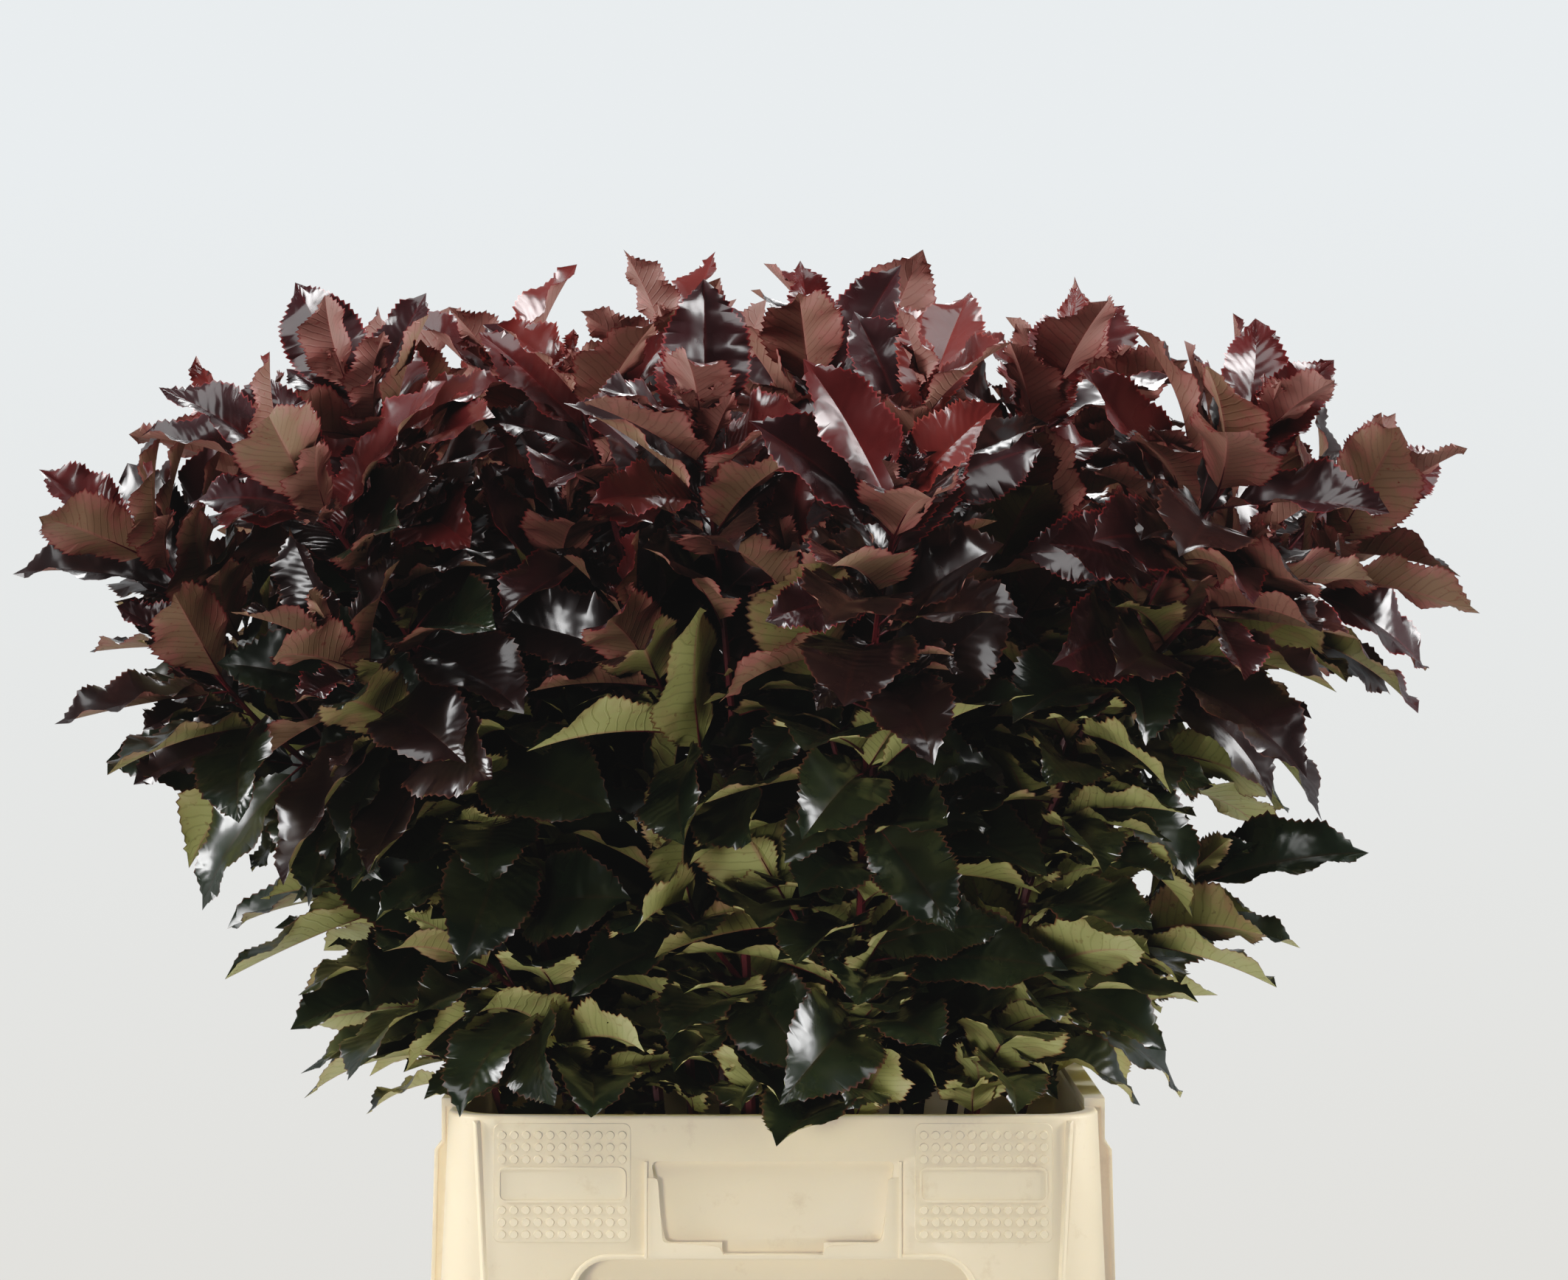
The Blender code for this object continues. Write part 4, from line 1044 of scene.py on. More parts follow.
def blade_skin(leaf, dice, tooth):
    """Points, faces and map of one fine leaf: two skins that share a toothed edge."""
    start = dice.random()
    points, uvs, faces = [], [], []

    def put(t, across, skin=0, reach=0.0):
        """Add one point of the blade. skin is 1 above, -1 below and 0 on the edge."""
        frill = EDGE_FRILL * across**4 * math.sin(2 * math.pi * (FRILL_WAVES * t + start + across * 0.2))
        camber = BLADE_CAMBER * 4 * abs(across) * (1 - abs(across)) * blade_profile(t)
        lift = skin * BLADE_HALF_THICKNESS + frill + camber - CALM * leaf.ripple(t, across)
        points.append(leaf.place(t, across, lift, reach))
        uvs.append(((across + 1) / 2, t))
        return len(points) - 1

    base, tip = put(0.0, 0.0), put(1.0, 0.0)
    rows = []
    for i in range(1, BLADE_ROWS):
        t = i / BLADE_ROWS
        left, right = put(t, -1), put(t, 1)
        upper = [left] + [put(t, a, 1) for a in (-0.5, 0, 0.5)] + [right]
        lower = [left] + [put(t, a, -1) for a in (-0.5, 0, 0.5)] + [right]
        rows.append((t, upper, lower))
    edges = {}
    for i in range(len(rows) - 1):
        t0, t1 = rows[i][0], rows[i + 1][0]
        for side in (0, 4):
            across = -1 if side == 0 else 1
            chain = [rows[i][1][side]]
            for k in range(TEETH_A_ROW):
                peak = t0 + (t1 - t0) * (k + TOOTH_LEAN) / TEETH_A_ROW
                chain.append(put(peak, across, 0, tooth * dice.uniform(0.45, 1.25)))
                if k < TEETH_A_ROW - 1:
                    chain.append(put(t0 + (t1 - t0) * (k + 1) / TEETH_A_ROW, across))
            chain.append(rows[i + 1][1][side])
            edges[i, side] = chain
    for skin in (1, 2):
        new = []
        first, last = rows[0][skin], rows[-1][skin]
        for j in range(4):
            new.append((base, first[j + 1], first[j]))
            new.append((tip, last[j], last[j + 1]))
        for i in range(len(rows) - 1):
            low, high = rows[i][skin], rows[i + 1][skin]
            for j in (1, 2):
                new.append((low[j], low[j + 1], high[j + 1], high[j]))
            for side, inner in ((0, 1), (4, 3)):
                chain = edges[i, side]
                middle = len(chain) // 2
                fan = [(low[inner], chain[k + 1], chain[k]) for k in range(middle)]
                fan.append((low[inner], high[inner], chain[middle]))
                fan += [(high[inner], chain[k + 1], chain[k]) for k in range(middle, len(chain) - 1)]
                new += fan if side == 0 else [face[::-1] for face in fan]
        if skin == 2:
            new = [(face[0], *reversed(face[1:])) for face in new]
        faces += [(face, skin - 1) for face in new]
    return points, uvs, faces


def leaves_object(name, dealt, materials, tooth):
    """One joined piece of fine leaves. Each leaf takes one tint above and one below."""
    points, uvs, faces, slots = [], [], [], []
    for index, leaf in enumerate(dealt):
        dice = random.Random(f"{SEED} blade {name} {index}")
        above, below = leaf_tones(leaf, dice)
        skin_points, skin_uvs, skin_faces = blade_skin(leaf, dice, tooth)
        base = len(points)
        points += skin_points
        uvs += skin_uvs
        for face, side in skin_faces:
            faces.append(tuple(base + i for i in face))
            slots.append(above if side == 0 else 5 + below)
    obj = empty_mesh_object(name)
    mesh = obj.data
    mesh.from_pydata([tuple(p) for p in points], [], faces)
    layer = mesh.uv_layers.new(name="blade")
    corners = [loop.vertex_index for loop in mesh.loops]
    layer.data.foreach_set("uv", [c for corner in corners for c in uvs[corner]])
    for material in materials:
        mesh.materials.append(material)
    mesh.polygons.foreach_set("material_index", slots)
    mesh.shade_smooth()
    mesh.set_sharp_from_angle(angle=math.radians(42))
    mesh.update()
    return obj


def tube_rings(line, radii, sides, points, faces, closed=True):
    """Add a tube through the points of a line to lists of points and faces."""
    base = len(points)
    count = len(line)
    along = (line[1] - line[0]).normalized()
    across = along.orthogonal().normalized()
    for i, (centre, radius) in enumerate(zip(line, radii)):
        ahead = line[min(i + 1, count - 1)] - line[max(i - 1, 0)]
        turn = along.rotation_difference(ahead.normalized())
        across = turn @ across
        along = ahead.normalized()
        other = along.cross(across)
        for j in range(sides):
            angle = 2 * math.pi * j / sides
            points.append(centre + (across * math.cos(angle) + other * math.sin(angle)) * radius)
    for i in range(count - 1):
        for j in range(sides):
            a = base + i * sides + j
            b = base + i * sides + (j + 1) % sides
            faces.append((a, b, b + sides, a + sides))
    if closed:
        faces.append(tuple(base + j for j in reversed(range(sides))))
        top = base + (count - 1) * sides
        faces.append(tuple(top + j for j in range(sides)))


def joined_tubes(name, tubes, sides, material):
    """One piece of many tubes, each a (line, radii) pair."""
    points, faces = [], []
    for line, radii in tubes:
        tube_rings(line, radii, sides, points, faces)
    obj = empty_mesh_object(name)
    obj.data.from_pydata([tuple(p) for p in points], [], faces)
    obj.data.materials.append(material)
    obj.data.shade_smooth()
    obj.data.set_sharp_from_angle(angle=math.radians(50))
    return obj


def twig_tubes(axes):
    """Tubes of a stem's upper part and its side shoots, thicker at each leaf's node."""
    tubes = []
    for axis in axes:
        steps = max(8, int(axis.length / 0.012))
        line = [axis.at(axis.length * i / steps)[0] for i in range(steps + 1)]
        radii = [axis.radius(axis.length * i / steps) * (1.0 + 0.10 * (i % 2)) for i in range(steps + 1)]
        tubes.append((line, radii))
    return tubes


def stalk_tube(leaf):
    """Tube of a leaf's stalk, which runs on under the blade as the raised start of its midrib."""
    line = [leaf.root, leaf.root + leaf.direction * leaf.stalk * 0.55]
    line += [leaf.place(t, 0) for t in (0.02, 0.16, 0.34)]
    size = leaf.length / LEAF_LENGTH
    return line, [0.0011 * size, 0.0010 * size, 0.0009 * size, 0.0006 * size, 0.0003 * size]


class PHOTINIA_OT_foliage(bpy.types.Operator):
    """Grow the leaves and twigs of every cut stem"""

    bl_idname = "photinia.foliage"
    bl_label = "Foliage"

    def execute(self, context):
        settings = context.scene.photinia_foliage
        lower, upper = grow_axes()
        masses = grow_leaves(lower, upper)
        spare = grow_spare_leaves(lower, upper, masses)
        red_edge = linear("#8A3234")
        green_edge = linear("#4E2C24")
        tops = [
            glossy_cuticle("leaf_top_fresh_red", tuple(settings.fresh_red), linear("#A4473F")),
            glossy_cuticle("leaf_top_brick_red", tuple(settings.brick_red), red_edge),
            glossy_cuticle("leaf_top_maroon", tuple(settings.maroon), red_edge),
            glossy_cuticle("leaf_top_dark_maroon", tuple(settings.dark_maroon), green_edge),
            glossy_cuticle("leaf_top_dark_green", tuple(settings.dark_green), green_edge),
        ]
        flush = tuple(settings.flush)
        undersides = [
            matt_underside("leaf_under_rose", tuple(settings.rose), flush, red_edge),
            matt_underside("leaf_under_rosy_tan", tuple(settings.rosy_tan), flush, red_edge),
            matt_underside("leaf_under_tan", tuple(settings.tan), flush, red_edge),
            matt_underside("leaf_under_olive", tuple(settings.olive), flush, green_edge, 0.45),
            matt_underside("leaf_under_yellow_green", tuple(settings.yellow_green), flush, linear("#7D5238"), 0.25),
        ]
        dealt = []
        for number, (axes, leaves) in enumerate(zip(upper, masses)):
            own = leaves + spare[number]
            for order, axis in enumerate(axes):
                own += grow_tip_leaves(axis, number, order)
            dealt.append(own)
        shares = [range(part, STEM_COUNT, LEAF_PIECES) for part in range(LEAF_PIECES)]
        for part, numbers in enumerate(shares, start=1):
            name = f"leaves_{part}"
            leaves = [leaf for number in numbers for leaf in dealt[number]]
            piece = leaves_object(name, leaves, tops + undersides, settings.tooth)
            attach(piece, "root")
            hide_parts(*[f"foliage_{number + 1:02d}" for number in numbers])
        tubes = [tube for axes in upper for tube in twig_tubes(axes)]
        tubes += [stalk_tube(leaf) for own in dealt for leaf in own]
        bark = young_bark("young_shoot_bark", tuple(settings.twig), 0.42)
        twigs = joined_tubes("twigs_and_leaf_stalks", tubes, 6, bark)
        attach(twigs, "root")
        print("LEAVES", sum(len(m) for m in masses), "spare", sum(len(m) for m in spare))
        return {"FINISHED"}


class PHOTINIA_OT_cut_stems(bpy.types.Operator):
    """Make the bare lower stems, with the relief of their bark"""

    bl_idname = "photinia.cut_stems"
    bl_label = "Cut stems"

    def execute(self, context):
        settings = context.scene.photinia_foliage
        lower, _ = grow_axes()
        tubes = []
        for number, axis in enumerate(lower):
            dice = random.Random(f"{SEED} bark {number}")
            steps = 46
            line = [axis.at(axis.length * i / steps)[0] for i in range(steps + 1)]
            radii = [axis.radius(axis.length * i / steps) * dice.uniform(0.95, 1.04) for i in range(steps + 1)]
            # A leaf scar every few centimetres stands out as a low ring
            for i in range(4 + number % 3, steps, 9):
                radii[i] *= 1.10
            tubes.append((line, radii))
        stems = joined_tubes("cut_stems", tubes, 12, young_bark("cut_stem_bark", tuple(settings.bark), 0.62))
        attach(stems, "root")
        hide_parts(*[f"stem_{number + 1:02d}" for number in range(STEM_COUNT)])
        return {"FINISHED"}


def ring_sweep(name, levels, corner, corner_steps):
    """A closed solid of rounded rectangles, extruded from level to level as (half x, half y, height)."""
    deselect()
    half_x, half_y, height = levels[0]
    bpy.ops.mesh.primitive_plane_add(size=2, location=(0, 0, height))
    obj = bpy.context.object
    obj.name = name
    obj.data.name = name
    obj.scale = (half_x, half_y, 1)
    bpy.ops.object.transform_apply(location=True, rotation=True, scale=True)
    bpy.ops.object.mode_set(mode="EDIT")
    bpy.ops.mesh.bevel(offset=corner, segments=corner_steps, affect="VERTICES")
    bpy.ops.mesh.select_all(action="SELECT")
    for wide, deep, level in levels[1:]:
        bpy.ops.mesh.extrude_region_move(TRANSFORM_OT_translate={"value": (0, 0, level - height)})
        factor = (wide / half_x, deep / half_y, 1)
        bpy.ops.transform.resize(value=factor, center_override=(0, 0, level))
        half_x, half_y, height = wide, deep, level
    bpy.ops.mesh.select_all(action="SELECT")
    bpy.ops.mesh.normals_make_consistent(inside=False)
    bpy.ops.object.mode_set(mode="OBJECT")
    return obj


def block(name, low, high):
    """A box between two corners, made from a cube."""
    deselect()
    low, high = Vector(low), Vector(high)
    bpy.ops.mesh.primitive_cube_add(size=1, location=(low + high) / 2)
    obj = bpy.context.object
    obj.name = name
    obj.scale = high - low
    bpy.ops.object.transform_apply(location=True, rotation=True, scale=True)
    return obj


def edit_selected(obj, kind, picks):
    """Open an object in edit mode with only some edges or faces selected, given by their numbers."""
    make_active(obj)
    bpy.context.tool_settings.mesh_select_mode = (False, kind == "EDGE", kind == "FACE")
    mesh = obj.data
    for parts in (mesh.vertices, mesh.edges, mesh.polygons):
        parts.foreach_set("select", [False] * len(parts))
    parts = mesh.edges if kind == "EDGE" else mesh.polygons
    for number in picks:
        parts[number].select = True
    bpy.ops.object.mode_set(mode="EDIT")


def bevel_edges(obj, chosen, width, segments):
    """Round the edges whose two ends pass a test."""
    points = [vert.co for vert in obj.data.vertices]
    picks = [edge.index for edge in obj.data.edges if chosen(*[points[i] for i in edge.vertices])]
    edit_selected(obj, "EDGE", picks)
    bpy.ops.mesh.bevel(offset=width, segments=segments, affect="EDGES")
    bpy.ops.object.mode_set(mode="OBJECT")


def cut_or_join(target, tool, operation):
    """Apply one Boolean of a tool on a target, and remove the tool."""
    make_active(target)
    modifier = target.modifiers.new(operation.lower(), "BOOLEAN")
    modifier.operation = operation
    modifier.object = tool
    # The exact solver loses the bucket's shell, and this one keeps it
    modifier.solver = "MANIFOLD"
    bpy.ops.object.modifier_apply(modifier=modifier.name)
    bpy.data.objects.remove(tool, do_unlink=True)


def mirrored_side(obj, side):
    """Turn a piece of the front to the back when side is 1, and leave it when side is -1."""
    if side > 0:
        make_active(obj)
        obj.rotation_euler = (0, 0, math.pi)
        bpy.ops.object.transform_apply(location=True, rotation=True, scale=True)
    return obj


def shape_grip():
    """A grip panel of the right side, as a thin wall that bulges out below the rim."""
    edge, top, foot = RIM_LENGTH / 2, BUCKET_HEIGHT + GRIP_RISE, BUCKET_HEIGHT - SKIRT_DROP
    bulge = BUCKET_HEIGHT - GRIP_BULGE_DROP
    out, far = edge + GRIP_STAND_OUT, edge + GRIP_BULGE
    root = edge - RIM_BAND + WALL / 2
    grip = block("grip", (out - WALL, -GRIP_HALF_WIDTH, bulge), (out, GRIP_HALF_WIDTH, top))
    edit_selected(grip, "FACE", [face.index for face in grip.data.polygons if face.normal.z < -0.9])
    for step in ((far - out, 0, -GRIP_BULGE_STEP), (SKIRT_FLARE / 2, 0, foot - bulge + GRIP_BULGE_STEP)):
        bpy.ops.mesh.extrude_region_move(TRANSFORM_OT_translate={"value": step})
    bpy.ops.object.mode_set(mode="OBJECT")
    shelf = block("shelf", (root, -GRIP_HALF_WIDTH, top - 2 * WALL), (out - WALL / 2, GRIP_HALF_WIDTH, top))
    cut_or_join(grip, shelf, "UNION")
    # A cheek closes each end of the grip against the skirt
    low, half = foot + CHEEK_RISE, WALL / 2
    outline = [(edge - half, BUCKET_HEIGHT + half), (out - half, BUCKET_HEIGHT + half), (out - half, bulge)]
    outline += [(far - half, bulge - GRIP_BULGE_STEP), (far + SKIRT_FLARE / 2 - half, low)]
    outline += [(edge + SKIRT_FLARE - half, low), (edge - half, BUCKET_HEIGHT - half)]
    for hand in (-1, 1):
        cheek = flat_shape("cheek", outline, half)
        for vert in cheek.data.vertices:
            vert.co.y += hand * (GRIP_HALF_WIDTH - WALL)
        cut_or_join(grip, cheek, "UNION")
    return grip


def soften_edges(obj, width, segments):
    """Round every sharp edge a little, as a mould does, and shade the piece smooth."""
    make_active(obj)
    modifier = obj.modifiers.new("soft_edges", "BEVEL")
    modifier.width = width
    modifier.segments = segments
    modifier.limit_method = "ANGLE"
    modifier.angle_limit = math.radians(38)
    modifier.harden_normals = False
    bpy.ops.object.modifier_apply(modifier=modifier.name)
    bpy.ops.object.shade_smooth_by_angle(angle=math.radians(32))


def crosswise(a, b):
    """Whether an edge runs across the front face, from outside to inside."""
    return abs(a.y - b.y) > WALL


def front_tools():
    """What is cut out of the front skirt: the hand hole and the label holder's pocket, mouth and card slot."""
    face, top, foot = RIM_DEPTH / 2, BUCKET_HEIGHT, BUCKET_HEIGHT - SKIRT_DROP
    low, high = top - HOLDER_BOTTOM, top - HOLDER_TOP
    back = HOLDER_DEPTH - WALL / 2 - face
    arch = block(
        "arch", (-ARCH_WIDTH / 2, -face - PAST, foot - PAST), (ARCH_WIDTH / 2, PAST - face, top - ARCH_TOP)
    )
    bevel_edges(arch, lambda a, b: min(a.z, b.z) > foot and crosswise(a, b), ARCH_CORNER, 8)
    pocket = block(
        "pocket", (-HOLDER_TOP_WIDTH / 2, -face - PAST, low + HOLDER_LIP_HEIGHT), (HOLDER_TOP_WIDTH / 2, back, high)
    )
    for vert in pocket.data.vertices:
        if vert.co.z < (low + high) / 2:
            vert.co.x *= HOLDER_BOTTOM_WIDTH / HOLDER_TOP_WIDTH
    bevel_edges(pocket, crosswise, HOLDER_CORNER, 4)
    half = HOLDER_LIP_GAP / 2
    mouth = block("mouth", (-half, -face - PAST, low), (half, back, low + HOLDER_LIP_HEIGHT + HOLDER_CORNER))
    bevel_edges(mouth, lambda a, b: max(a.z, b.z) < low + WALL and crosswise(a, b), MOUTH_CORNER, 4)
    half = HOLDER_BOTTOM_WIDTH / 2
    slot = block("slot", (-half, back - HOLDER_LIP_SLOT, low), (half, back, low + HOLDER_LIP_HEIGHT + WALL))
    return arch, pocket, mouth, slot


def pocket_ceiling():
    """The slanted upper end of the label holder's recess."""
    back = HOLDER_DEPTH - WALL / 2 - RIM_DEPTH / 2
    high, half = BUCKET_HEIGHT - HOLDER_TOP, HOLDER_TOP_WIDTH / 2
    ceiling = block(
        "ceiling", (-half, back - CEILING_REACH, high - CEILING_DROP), (half, back + WALL / 2, high + WALL / 2)
    )
    for vert in ceiling.data.vertices:
        if vert.co.z < high and vert.co.y < back:
            vert.co.y = back + WALL / 4
    return ceiling


class PHOTINIA_OT_bucket(bpy.types.Operator):
    """Mould the bucket: tub, skirt, hand holes, label holders and grips"""

    bl_idname = "photinia.bucket"
    bl_label = "Bucket"

    def execute(self, context):
        settings = context.scene.photinia_bucket
        rim_x, rim_y = RIM_LENGTH / 2, RIM_DEPTH / 2
        floor_x, floor_y = FLOOR_LENGTH / 2, FLOOR_DEPTH / 2
        top, foot = BUCKET_HEIGHT, BUCKET_HEIGHT - SKIRT_DROP
        tub = RIM_BAND - WALL
        levels = [
            (floor_x - WALL, floor_y - WALL, FLOOR_THICKNESS),
            (rim_x - RIM_BAND, rim_y - RIM_BAND, top - RIM_ROLL / 2),
            (rim_x - RIM_BAND + RIM_ROLL / 2, rim_y - RIM_BAND + RIM_ROLL / 2, top),
        ]
        # The rim's outer edge rolls over in a quarter circle
        for i in range(5):
            turn = i / 4 * math.pi / 2
            inset = RIM_ROLL * (1 - math.sin(turn))
            levels.append((rim_x - inset, rim_y - inset, top - RIM_ROLL * (1 - math.cos(turn))))
        levels += [
            (rim_x + SKIRT_FLARE, rim_y + SKIRT_FLARE, foot),
            (rim_x + SKIRT_FLARE - WALL, rim_y + SKIRT_FLARE - WALL, foot),
            (rim_x - WALL, rim_y - WALL, top - WALL),
            (rim_x - tub, rim_y - tub, top - WALL),
            (floor_x, floor_y, FOOT_BEVEL),
            (floor_x - FOOT_BEVEL, floor_y - FOOT_BEVEL, 0.0),
        ]
        bucket = ring_sweep("bucket_shell", levels, RIM_CORNER, 9)
        low, high = top - HOLDER_BOTTOM, top - HOLDER_TOP
        half = HOLDER_TOP_WIDTH / 2 + WALL
        for side in (-1, 1):
            arch, pocket, mouth, slot = front_tools()
            cut_or_join(bucket, mirrored_side(arch, side), "DIFFERENCE")
            opening = block(
                "grip_opening",
                (rim_x - 2 * WALL, -GRIP_OPENING_HALF_WIDTH, foot - PAST),
                (rim_x + PAST, GRIP_OPENING_HALF_WIDTH, top - GRIP_OPENING_TOP),
            )
            cut_or_join(bucket, mirrored_side(opening, side), "DIFFERENCE")
            cut_or_join(bucket, mirrored_side(shape_grip(), side), "UNION")
            back = HOLDER_DEPTH + WALL / 2 - rim_y
            tray = block("tray", (-half, WALL / 2 - rim_y, low - WALL), (half, back, high + WALL))
            cut_or_join(bucket, mirrored_side(tray, side), "UNION")
            for tool in (pocket, mouth, slot):
                cut_or_join(bucket, mirrored_side(tool, side), "DIFFERENCE")
            cut_or_join(bucket, mirrored_side(pocket_ceiling(), side), "UNION")
        soften_edges(bucket, 0.0005, 2)
        bucket.data.materials.clear()
        bucket.data.materials.append(moulded_polypropylene(settings))
        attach(bucket, "root")
        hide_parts(*BUCKET_NODES)
        return {"FINISHED"}


def lay_on_skirt(obj):
    """Lean a flat piece that was made on the plane y = 0 onto the front face of the skirt."""
    for vert in obj.data.vertices:
        vert.co.y -= skirt_face(vert.co.z)
    return obj


def rounded_plate(name, centre, half_x, half_z, corner, thickness):
    """A flat plate with round corners that stands out of the plane y = 0 by its thickness."""
    deselect()
    x, z = centre
    bpy.ops.mesh.primitive_plane_add(size=2, location=(x, 0.0006, z), rotation=(math.pi / 2, 0, 0))
    obj = bpy.context.object
    obj.name = name
    obj.scale = (half_x, half_z, 1)
    bpy.ops.object.transform_apply(location=True, rotation=True, scale=True)
    bpy.ops.object.mode_set(mode="EDIT")
    bpy.ops.mesh.bevel(offset=corner, segments=6, affect="VERTICES")
    bpy.ops.mesh.select_all(action="SELECT")
    bpy.ops.mesh.extrude_region_move(TRANSFORM_OT_translate={"value": (0, -thickness - 0.0006, 0)})
    bpy.ops.transform.resize(value=(1 - thickness / half_x, 1, 1 - thickness / half_z), center_override=(x, 0, z))
    bpy.ops.mesh.select_all(action="SELECT")
    bpy.ops.mesh.normals_make_consistent(inside=False)
    bpy.ops.object.mode_set(mode="OBJECT")
    return obj


def dot_field(name, first, columns, rows, settings):
    """A field of low round dots, one modelled and the rest copied in rows and columns."""
    deselect()
    x, z = first
    bpy.ops.mesh.primitive_cone_add(
        vertices=14, radius1=settings.dot_width / 2, radius2=settings.dot_width * 0.41,
        depth=settings.relief + 0.001, location=(x, -settings.relief - 0.0001, z), rotation=(math.pi / 2, 0, 0),
    )
    obj = bpy.context.object
    obj.name = name
    bpy.ops.object.transform_apply(location=True, rotation=True, scale=True)
    for count, step in ((columns, (settings.dot_pitch, 0, 0)), (rows, (0, 0, -settings.dot_pitch))):
        copies = obj.modifiers.new("copies", "ARRAY")
        copies.use_relative_offset = False
        copies.use_constant_offset = True
        copies.constant_offset_displace = step
        copies.count = count
        bpy.ops.object.modifier_apply(modifier=copies.name)
    return obj


def raised_frame(name, centre, half_x, half_z, width, settings):
    """A thin raised outline with round corners."""
    deselect()
    x, z = centre
    bpy.ops.mesh.primitive_plane_add(size=2, location=(x, -settings.relief, z), rotation=(math.pi / 2, 0, 0))
    obj = bpy.context.object
    obj.name = name
    obj.scale = (half_x, half_z, 1)
    bpy.ops.object.transform_apply(location=True, rotation=True, scale=True)
    bpy.ops.object.mode_set(mode="EDIT")
    bpy.ops.mesh.bevel(offset=0.0045, segments=6, affect="VERTICES")
    bpy.ops.mesh.select_all(action="SELECT")
    bpy.ops.mesh.inset(thickness=width)
    bpy.ops.mesh.delete(type="FACE")
    bpy.ops.object.mode_set(mode="OBJECT")
    wall = obj.modifiers.new("wall", "SOLIDIFY")
    wall.thickness = settings.relief * 2.0
    wall.offset = 0
    bpy.ops.object.modifier_apply(modifier=wall.name)
    return obj


def hand_hole_bead():
    """The rounded bead that runs round the edge of the hand hole."""
    half, high = ARCH_WIDTH / 2 + BEAD, BUCKET_HEIGHT - ARCH_TOP + BEAD
    corner, foot = ARCH_CORNER + BEAD, BUCKET_HEIGHT - SKIRT_DROP + BEAD
    outline = [(-half, foot)]
    for hand in (-1, 1):
        turns = [i / 8 * math.pi / 2 for i in range(9)]
        for turn in turns if hand < 0 else reversed(turns):
            outline.append((hand * (half - corner + corner * math.cos(turn)), high - corner * (1 - math.sin(turn))))
    outline.append((half, foot))
    line = [Vector((x, BEAD_SINK, z)) for x, z in outline]
    points, faces = [], []
    tube_rings(line, [BEAD] * len(line), 10, points, faces)
    obj = empty_mesh_object("bead")
    obj.data.from_pydata([tuple(p) for p in points], [], faces)
    return obj


def flat_shape(name, outline, out):
    """A flat outline in X and Z that stands out of the plane y = 0, and reaches a little behind it."""
    obj = empty_mesh_object(name)
    points = [(x, WALL / 2, z) for x, z in outline]
    obj.data.from_pydata(points, [], [tuple(range(len(points)))])
    make_active(obj)
    bpy.ops.object.mode_set(mode="EDIT")
    bpy.ops.mesh.select_all(action="SELECT")
    bpy.ops.mesh.extrude_region_move(TRANSFORM_OT_translate={"value": (0, -out - WALL / 2, 0)})
    bpy.ops.mesh.select_all(action="SELECT")
    bpy.ops.mesh.normals_make_consistent(inside=False)
    bpy.ops.object.mode_set(mode="OBJECT")
    return obj


def holder_frame():
    """The frame and the two ridges that stand out round the label holder."""
    right = [(x, BUCKET_HEIGHT - down) for x, down in FRAME_HALF]
    foot, edge = BUCKET_HEIGHT - FRAME_FOOT, FRAME_HALF[0][0]
    outline = right + [(-x, z) for x, z in reversed(right[:-1])] + [(-edge, foot), (edge, foot)]
    pieces = [flat_shape("frame", outline, FRAME_OUT)]
    high = BUCKET_HEIGHT - HOLDER_TOP
    for hand in (-1, 1):
        x = hand * RIDGE_X
        ends = (x - RIDGE_WIDTH / 2, x + RIDGE_WIDTH / 2)
        ridge = [(ends[0], foot), (ends[1], foot), (ends[1], high), (ends[0], high)]
        pieces.append(flat_shape("ridge", ridge, RIDGE_OUT))
    return pieces


class PHOTINIA_OT_bucket_relief(bpy.types.Operator):
    """Add the raised plates, dots, frames and ribs of the bucket's long sides"""

    bl_idname = "photinia.bucket_relief"
    bl_label = "Bucket relief"

    def execute(self, context):
        settings = context.scene.photinia_bucket
        plastic = bpy.data.materials["moulded_polypropylene"]
        top = BUCKET_HEIGHT
        pieces = []
        plate_x, plate_half = 0.1245, 0.0408
        for hand in (-1, 1):
            x = hand * plate_x
            plate = rounded_plate("plate", (x, top - 0.0395), plate_half, 0.0352, 0.004, settings.relief * 0.7)
            pieces.append(plate)
            first_x = x - settings.dot_pitch * 5
            for first_z in (top - 0.0115, top - 0.0555):
                pieces.append(dot_field("dots", (first_x, first_z), 11, 3, settings))
            pieces.append(raised_frame("frame", (x, top - 0.0405), 0.0378, 0.0103, 0.0012, settings))
            rib = rounded_plate("rib", (hand * 0.1755, top - 0.066), 0.0023, 0.063, 0.001, settings.relief * 2.3)
            for vert in rib.data.vertices:
                vert.co.x -= hand * 0.055 * (top - vert.co.z)
            pieces.append(rib)
        pieces += [hand_hole_bead(), *holder_frame()]
        for piece in pieces:
            lay_on_skirt(piece)
        deselect()
        for piece in pieces:
            piece.select_set(True)
        bpy.context.view_layer.objects.active = pieces[0]
        bpy.ops.object.join()
        front = bpy.context.object
        front.name = "bucket_front_relief"
        bpy.ops.object.shade_smooth_by_angle(angle=math.radians(32))
        front.data.materials.clear()
        front.data.materials.append(plastic)
        back = front.copy()
        back.data = front.data.copy()
        back.name = "bucket_back_relief"
        context.scene.collection.objects.link(back)
        mirrored_side(back, 1)
        for piece in (front, back):
            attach(piece, "root")
        return {"FINISHED"}


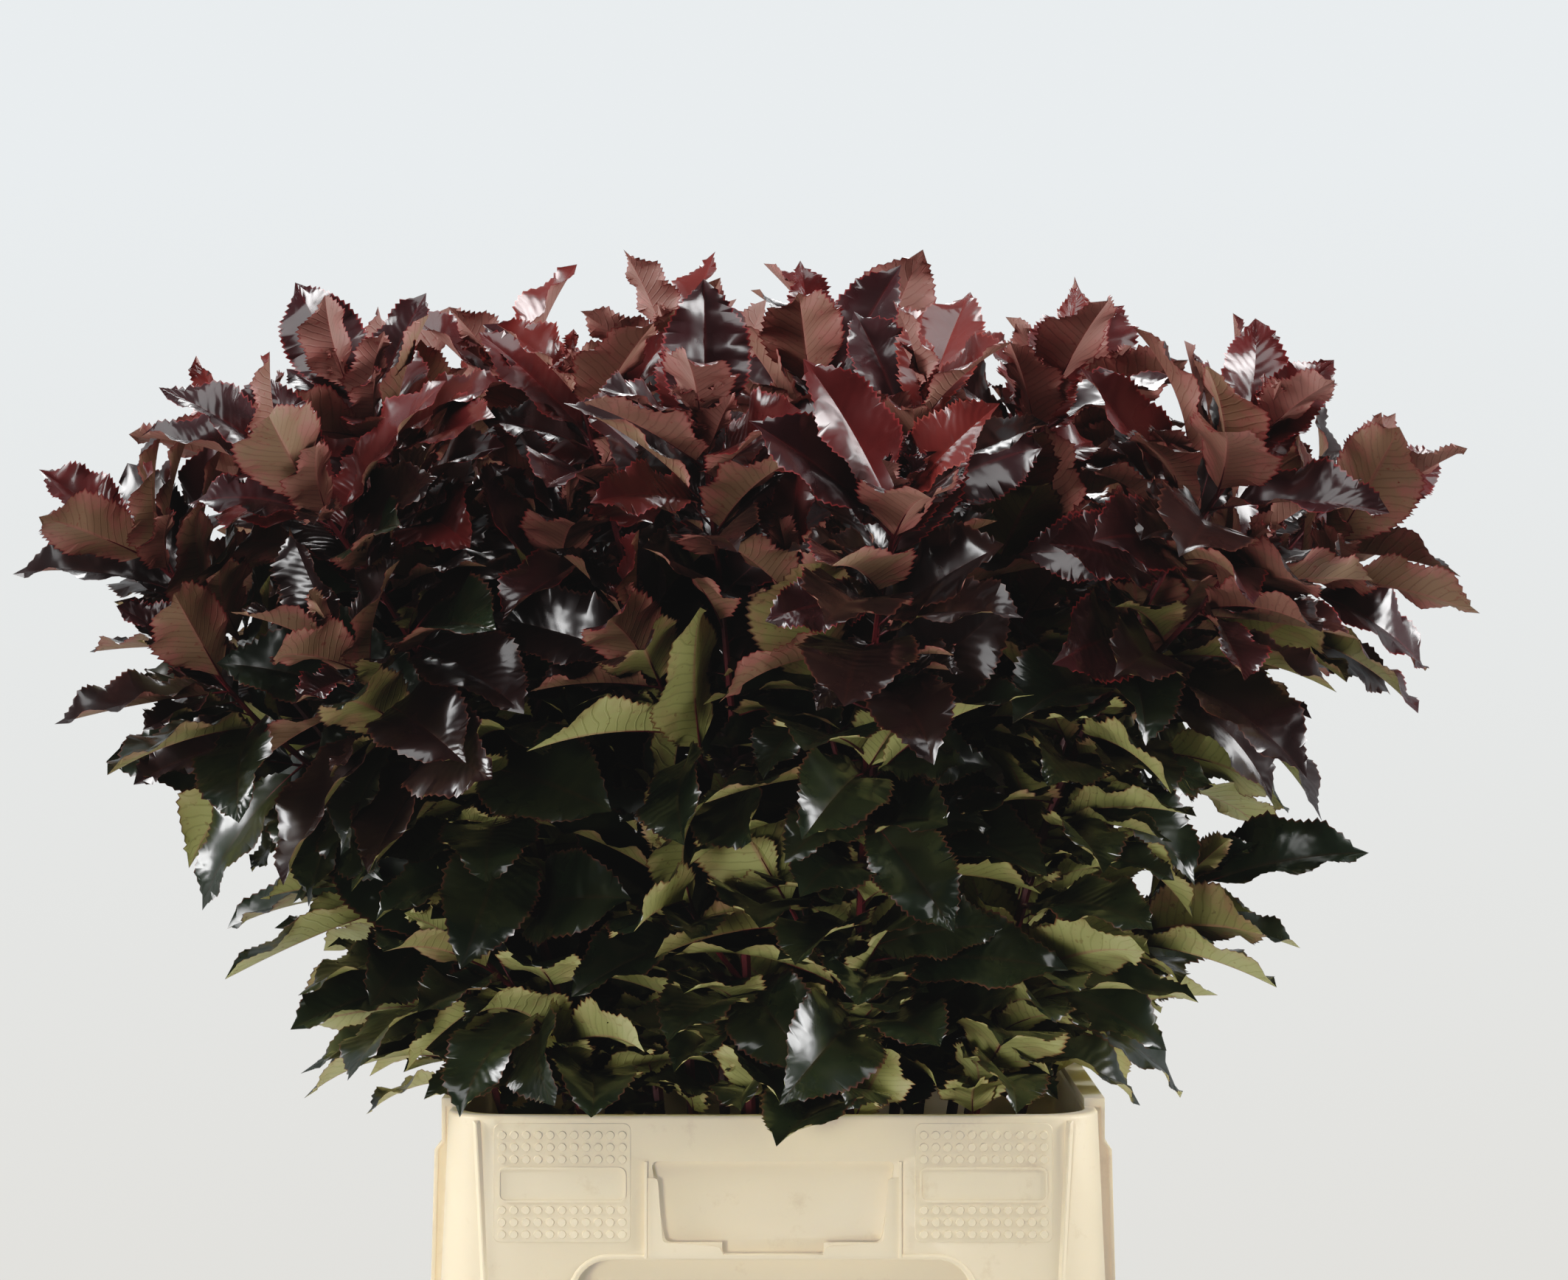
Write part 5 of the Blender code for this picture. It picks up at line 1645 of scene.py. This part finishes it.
class PHOTINIA_OT_stage(bpy.types.Operator):
    """Set the pale floor, the background, the lights and the camera"""

    bl_idname = "photinia.stage"
    bl_label = "Stage"

    def execute(self, context):
        scene = context.scene
        settings = scene.photinia_stage
        deselect()
        bpy.ops.mesh.primitive_circle_add(vertices=96, radius=1.05, fill_type="NGON", location=(0, 0, 0))
        floor = bpy.context.object
        floor.name = "floor"
        material, _, _ = new_material("matt_painted_board", tuple(settings.floor), 0.8)
        floor.data.materials.append(material)
        world = bpy.data.worlds.new("studio")
        scene.world = world
        world.use_nodes = True
        tree = world.node_tree
        background = tree.nodes["Background"]
        # The paper turns from the floor's warm grey to a cooler white above
        towards = add_node(tree, "ShaderNodeTexCoord").outputs["Generated"]
        parts = add_node(tree, "ShaderNodeSeparateXYZ", [(0, towards)])
        rise = add_node(
            tree, "ShaderNodeMapRange", [("Value", parts.outputs[2])], inputs={"From Min": -0.17, "From Max": 0.12}
        ).outputs[0]
        tree.links.new(
            mixed(tree, rise, tuple(settings.low_paper), tuple(settings.paper)), background.inputs["Color"]
        )
        # It stands behind the object and lights it from there, and the room in front is dark
        behind = add_node(
            tree, "ShaderNodeMapRange", [("Value", parts.outputs[1])], interpolation_type="SMOOTHSTEP",
            inputs={"From Min": -0.7, "From Max": 0.5, "To Min": DARK_ROOM, "To Max": PAPER_LIGHT},
        ).outputs[0]
        ray = add_node(tree, "ShaderNodeLightPath").outputs["Is Camera Ray"]
        strength = add_node(tree, "ShaderNodeMath", [(0, ray), (1, behind)], operation="MAXIMUM")
        tree.links.new(strength.outputs[0], background.inputs["Strength"])
        lights = (
            ("top_light", (0.0, -1.0, 2.3), (0, 0, 0.55), 1.5, 180, settings.top_light),
            ("back_light", (0.0, 2.0, 2.1), (0, 0, 0.5), 1.2, 120, settings.back_light),
            ("left_light", (-2.2, -0.35, 1.4), (0, 0, 0.66), 1.2, 60, settings.side_light),
            ("right_light", (2.2, -0.35, 1.4), (0, 0, 0.66), 1.2, 60, settings.side_light),
            ("front_light", (-0.9, -2.5, 0.28), (0, -0.15, 0.20), 0.7, 30, settings.front_light),
        )
        for name, place, aim, size, spread, power in lights:
            data = bpy.data.lights.new(name, "AREA")
            data.shape = "SQUARE"
            data.size = size
            data.spread = math.radians(spread)
            data.energy = power
            light = bpy.data.objects.new(name, data)
            light.location = place
            light.rotation_euler = (Vector(aim) - Vector(place)).to_track_quat("-Z", "Y").to_euler()
            scene.collection.objects.link(light)
        camera = bpy.data.objects.new("camera", bpy.data.cameras.new("camera"))
        camera.location = (0.0065, -2.4345, 0.581)
        camera.rotation_euler = (math.pi / 2, 0, 0)
        camera.data.lens = 89
        camera.data.sensor_width = 36
        scene.collection.objects.link(camera)
        scene.camera = camera
        scene.view_settings.view_transform = "Standard"
        # Stray light in the lens lifts the deepest shade a little
        scene.view_settings.use_curve_mapping = True
        curve = scene.view_settings.curve_mapping
        curve.black_level = (-settings.veil,) * 3
        tones = curve.curves[3].points
        for place in TONE_CURVE:
            tones.new(*place)
        for point in tones:
            point.handle_type = "VECTOR"
        curve.update()
        return {"FINISHED"}


class PHOTINIA_PT_panel(bpy.types.Panel):
    """Panel that lists the pieces and their settings"""

    bl_label = "Photinia bunch"
    bl_idname = "PHOTINIA_PT_panel"
    bl_space_type = "VIEW_3D"
    bl_region_type = "UI"
    bl_category = "Photinia"

    def draw(self, context):
        for operator in OPERATORS:
            self.layout.operator(operator.bl_idname)
        for name in SETTINGS:
            group = getattr(context.scene, name)
            box = self.layout.box()
            for key in group.__annotations__:
                box.prop(group, key)


OPERATORS = (
    PHOTINIA_OT_bucket,
    PHOTINIA_OT_bucket_relief,
    PHOTINIA_OT_cut_stems,
    PHOTINIA_OT_foliage,
    PHOTINIA_OT_stage,
)
SETTINGS = {
    "photinia_bucket": BucketSettings,
    "photinia_foliage": FoliageSettings,
    "photinia_stage": StageSettings,
}


def register():
    for group in SETTINGS.values():
        bpy.utils.register_class(group)
    for name, group in SETTINGS.items():
        setattr(bpy.types.Scene, name, bpy.props.PointerProperty(type=group))
    for operator in OPERATORS:
        bpy.utils.register_class(operator)
    bpy.utils.register_class(PHOTINIA_PT_panel)


def unregister():
    bpy.utils.unregister_class(PHOTINIA_PT_panel)
    for operator in reversed(OPERATORS):
        bpy.utils.unregister_class(operator)
    for name, group in SETTINGS.items():
        delattr(bpy.types.Scene, name)
        bpy.utils.unregister_class(group)


def main():
    register()
    bpy.ops.photinia.bucket()
    bpy.ops.photinia.bucket_relief()
    bpy.ops.photinia.cut_stems()
    bpy.ops.photinia.foliage()
    bpy.ops.photinia.stage()


if __name__ == "__main__":
    main()
